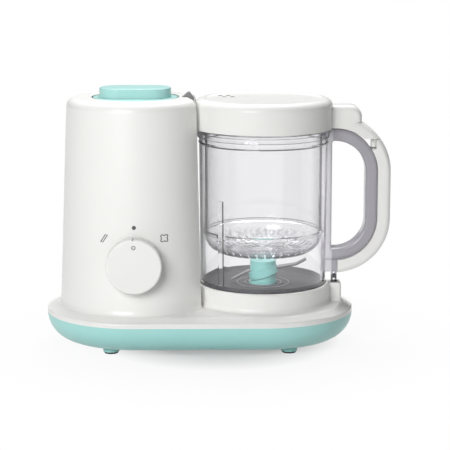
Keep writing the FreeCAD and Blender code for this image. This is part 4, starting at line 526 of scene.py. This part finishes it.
marks = {"knobLevel": 81.3 * mm, "dotRise": 31.0 * mm, "dotRadius": 1.75 * mm, "dotSteps": 28,
         "sideReach": 25.4 * mm, "sideRise": 21.2 * mm, "stroke": 0.75 * mm, "print": 0.05 * mm,
         "barHeight": 6.4 * mm, "barLean": 4.0 * mm, "barWidth": 2.0 * mm,
         "lobeRadius": 3.0 * mm, "lobeSteps": 48, "lobes": 4, "lobeSwell": 0.24,
         "ringRadius": 1.95 * mm, "ringStroke": 1.0 * mm, "ringRise": 16.6 * mm, "ringSteps": 36,
         "ringSink": 0.55 * mm, "ringPrint": 0.15 * mm}
form = bmesh.new()
disc(form, roundSpots(marks["knobLevel"] + marks["dotRise"], marks["dotRadius"], marks["dotSteps"]), marks["print"],
     onTower)
sideLevel = marks["knobLevel"] + marks["sideRise"]
halfBar, halfLean, halfHeight = marks["barWidth"] / 2, marks["barLean"] / 2, marks["barHeight"] / 2
leaningBar = [(-halfLean - halfBar, -halfHeight), (-halfLean + halfBar, -halfHeight),
              (halfLean + halfBar, halfHeight), (halfLean - halfBar, halfHeight)]
rosette = roundSpots(sideLevel, marks["lobeRadius"], marks["lobeSteps"], marks["sideReach"], marks["lobes"],
                     marks["lobeSwell"])
for spots in ([(x - marks["sideReach"], y + sideLevel) for x, y in leaningBar], rosette):
    stroke(form, spots, marks["stroke"], marks["print"], onTower)
pieceFrom(form, "tower_marks", "markInk", "base_unit")

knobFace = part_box("control_knob")[0].y


def onKnob(across, level, lift):
    return Vector((towerX + across, knobFace + marks["ringSink"] - lift, level))


form = bmesh.new()
ringMiddle = marks["ringRadius"] - marks["ringStroke"] / 2
stroke(form, roundSpots(marks["knobLevel"] + marks["ringRise"], ringMiddle, marks["ringSteps"]), marks["ringStroke"],
       marks["ringPrint"], onKnob)
pieceFrom(form, "knob_ring", "greySilicone", "knob")
print("marks printed")

# The bead round the top of the basket's bowl, parted where the jar's ribs pass.
beadSizes = {"inner": 51.25 * mm, "outer": 52.7 * mm, "low": 97.2 * mm, "high": 100.6 * mm, "soften": 0.9 * mm,
             "arcs": ((-10, 220), (230, 340)), "step": 2}
form = bmesh.new()
section = [(beadSizes["inner"], beadSizes["low"]), (beadSizes["outer"], beadSizes["low"] + beadSizes["soften"]),
           (beadSizes["outer"], beadSizes["high"] - beadSizes["soften"]), (beadSizes["inner"], beadSizes["high"])]
for first, last in beadSizes["arcs"]:
    rows = []
    for degrees in range(first, last + 1, beadSizes["step"]):
        turn = math.radians(degrees)
        rows.append([form.verts.new((jarX + reach * math.cos(turn), reach * math.sin(turn), level))
                     for reach, level in section])
    strip(form, rows)
    form.faces.new(rows[0])
    form.faces.new(rows[-1][::-1])
bead = pieceFrom(form, "basket_bead", "clearBasket", "basket")
bead.visible_shadow = False
print("bead laid round the basket")

crease = math.radians(32)  # edges sharper than this stay sharp


def grown(name, former, spots, sizes, body):
    seeds = bpy.data.meshes.new(name)
    seeds.from_pydata(spots, [], [])
    piece = placed(name, seeds)
    modifier = piece.modifiers.new("former", "NODES")
    modifier.node_group = former.tree
    for label, value in sizes.items():
        modifier[former.keys[label]] = value
    evaluation = bpy.context.evaluated_depsgraph_get()
    shaped = bpy.data.meshes.new_from_object(piece.evaluated_get(evaluation), depsgraph=evaluation)
    piece.modifiers.clear()
    piece.data = shaped
    shaped.shade_smooth()
    shaped.set_sharp_from_angle(angle=crease)
    print(name, "grown:", len(shaped.polygons), "faces")
    return carried(piece, body)


def cornerSpots(node, margin, level):
    low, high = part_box(node)
    return [(x, y, level) for x in (low.x + margin, high.x - margin) for y in (low.y + margin, high.y - margin)]


# Cross-head screws: a cone of a head with a cross pressed in it, and a thread wound round the shank.
screwSizes = {"headRadius": 3.4 * mm, "headTaper": 0.78, "headHeight": 2.2 * mm, "crossLength": 3.8 * mm,
              "crossWidth": 0.9 * mm, "crossDepth": 1.3 * mm, "coreRadius": 1.15 * mm, "tipTaper": 0.6,
              "threadRadius": 0.32 * mm, "threadPitch": 1.15 * mm, "threadShort": 2 * mm, "threadStart": 1.5 * mm,
              "shankLength": 22 * mm, "turn": 0.0}
screwSides = {"head": 32, "shank": 20, "turn": 16, "thread": 3}
former = Former("screwFormer", screwSizes)
size = former.size
head = former.rod(size("headRadius"), size("headRadius") * size("headTaper"), size("headHeight"), screwSides["head"])
cutDepth = size("crossDepth") * 2
slots = [former.moved(former.block(*sides, cutDepth), size("headHeight")) for sides in (
    (size("crossLength"), size("crossWidth")), (size("crossWidth"), size("crossLength")))]
tipRadius = size("coreRadius") * size("tipTaper")
shank = former.moved(former.rod(tipRadius, size("coreRadius"), size("shankLength"), screwSides["shank"]),
                     0 - size("shankLength"))
threadLength = size("shankLength") - size("threadShort")
helix = former.add("GeometryNodeCurveSpiral", {}, {
    "Resolution": screwSides["turn"], "Rotations": threadLength / size("threadPitch"), "Height": threadLength,
    "Start Radius": size("coreRadius"), "End Radius": size("coreRadius")})
thread = former.moved(former.swept(helix, screwSides["thread"], size("threadRadius")),
                      size("threadStart") - size("shankLength"))
former.close(former.joined(former.without(head, slots), shank, thread), size("turn"), "steelTurned")
for node, upward in (("base_screws", False), ("motor_screws", True)):
    low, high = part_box(node)
    seat = high.z - screwSizes["headHeight"] if upward else low.z + screwSizes["headHeight"]
    sizes = dict(screwSizes, shankLength=high.z - low.z - screwSizes["headHeight"], turn=0.0 if upward else math.pi)
    spots = cornerSpots(node, screwSizes["headRadius"], seat)
    piece = grown(f"{node}_threaded", former, spots, sizes, "base_unit")
    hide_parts(node)

# Foot pads: a soft disc with two moulded rings below and a peg above.
padSizes = {"padRadius": 6.2 * mm, "padTaper": 0.95, "padHeight": 1.6 * mm, "ringOne": 2.6 * mm, "ringTwo": 4.5 * mm,
            "ringDepth": 0.35 * mm, "pegRadius": 2.5 * mm, "pegTaper": 0.9, "pegHeight": 5.9 * mm}
padSides = {"pad": 40, "ring": 8, "peg": 24}
former = Former("padFormer", padSizes)
size = former.size
pad = former.rod(size("padRadius") * size("padTaper"), size("padRadius"), size("padHeight"), padSides["pad"])
rings = [former.swept(former.circle(padSides["pad"], size(ring)), padSides["ring"], size("ringDepth"))
         for ring in ("ringOne", "ringTwo")]
pegTop = size("pegRadius") * size("pegTaper")
peg = former.moved(former.rod(size("pegRadius"), pegTop, size("pegHeight"), padSides["peg"]), size("padHeight"))
former.close(former.joined(former.without(pad, rings), peg), 0.0, "blackRubber")
spots = cornerSpots("foot_pads", padSizes["padRadius"], 0)
piece = grown("foot_pads_moulded", former, spots, padSizes, "base_unit")
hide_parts("foot_pads")

# Camera: where the photograph was taken from.
view = {"aim": Vector((6 * mm, 0, 102.8 * mm)), "distance": 1500 * mm, "azimuth": -0.9, "pitch": 10.47, "lens": 139.1,
        "sensor": 36, "nearest": 0.05, "farthest": 60}
turnRound, tilt = math.radians(view["azimuth"]), math.radians(view["pitch"])
back = Vector((math.sin(turnRound), -math.cos(turnRound), math.tan(tilt)))
camera = bpy.data.objects.new("camera", bpy.data.cameras.new("camera"))
scene.collection.objects.link(camera)
camera.data.sensor_width = view["sensor"]
camera.data.lens = view["lens"]
camera.location = view["aim"] + back * view["distance"]
camera.rotation_mode = "QUATERNION"
camera.rotation_quaternion = (-back).to_track_quat("-Z", "Y")
camera.data.clip_start = view["nearest"]
camera.data.clip_end = view["farthest"]
scene.camera = camera

# Floor: pale, white to the eye further out, and as bright to the object as a white floor.
floorLook = {"colour": (0.52, 0.52, 0.515), "bounce": (0.78, 0.78, 0.77), "rough": 0.5, "half": 30.0,
             "near": 0.37, "beside": 0.55, "edge": 60 * mm, "side": 48 * mm, "reach": 110 * mm, "fade": 120 * mm}
pureWhite = (1, 1, 1, 1)
finish = newFinish("paleFloor")
away = finish.add("ShaderNodeVectorMath", {"operation": "LENGTH"}, {0: finish.place()}, "Value")
beside = finish.clamped((away - floorLook["edge"]) / floorLook["side"])
beyond = finish.clamped((away - floorLook["reach"]) / floorLook["fade"])
white = floorLook["near"] + beside * floorLook["beside"] + beyond * (1 - floorLook["near"] - floorLook["beside"])
hidden = (1 - finish.seen("Camera")) * (1 - beyond)
colour = finish.blend(hidden, opaque(floorLook["colour"]), opaque(floorLook["bounce"]))
matte = finish.add("ShaderNodeBsdfDiffuse", {}, {"Color": colour, "Roughness": floorLook["rough"]})
glow = finish.add("ShaderNodeEmission", {}, {"Color": pureWhite, "Strength": 1.0})
finish.close(finish.mixed(finish.seen("Camera", "Glossy", "Transmission") * white, matte, glow))
half = floorLook["half"]
form = bmesh.new()
form.faces.new([form.verts.new((x * half, y * half, 0)) for x, y in ((-1, -1), (1, -1), (1, 1), (-1, 1))])
floorMesh = bpy.data.meshes.new("floor")
form.to_mesh(floorMesh)
form.free()
floorMesh.materials.append(finish.owner)
floor = bpy.data.objects.new("floor", floorMesh)
scene.collection.objects.link(floor)

# Light: a soft lamp at the front left, a faint one at the left, one above and behind, and an even room.
lamps = {
    "keyLamp": {"place": (-0.50, -1.18, 0.60), "size": 0.6, "power": 13.0},
    "sideLamp": {"place": (-1.6, 0.15, 0.75), "size": 1.0, "power": 0.5},
    "topLamp": {"place": (0.05, 0.70, 1.55), "size": 1.0, "power": 35},
}
aimAt = Vector((0, 0, 0.1))
for name, lamp in lamps.items():
    light = bpy.data.lights.new(name, "AREA")
    light.shape = "SQUARE"
    light.size = lamp["size"]
    light.energy = lamp["power"]
    holder = bpy.data.objects.new(name, light)
    holder.location = lamp["place"]
    holder.rotation_mode = "QUATERNION"
    holder.rotation_quaternion = (aimAt - Vector(lamp["place"])).to_track_quat("-Z", "Y")
    scene.collection.objects.link(holder)

room = {"ambient": 0.11, "seen": 1.0}
scene.world = bpy.data.worlds.new("room")
finish = Finish(scene.world)
ambient, bright = [finish.add("ShaderNodeBackground", {}, {"Color": pureWhite, "Strength": room[level]})
                   for level in ("ambient", "seen")]
finish.close(finish.mixed(finish.seen("Camera", "Transmission"), ambient, bright), kind="ShaderNodeOutputWorld")
scene.view_settings.view_transform = "Standard"
print("camera, floor and light set")
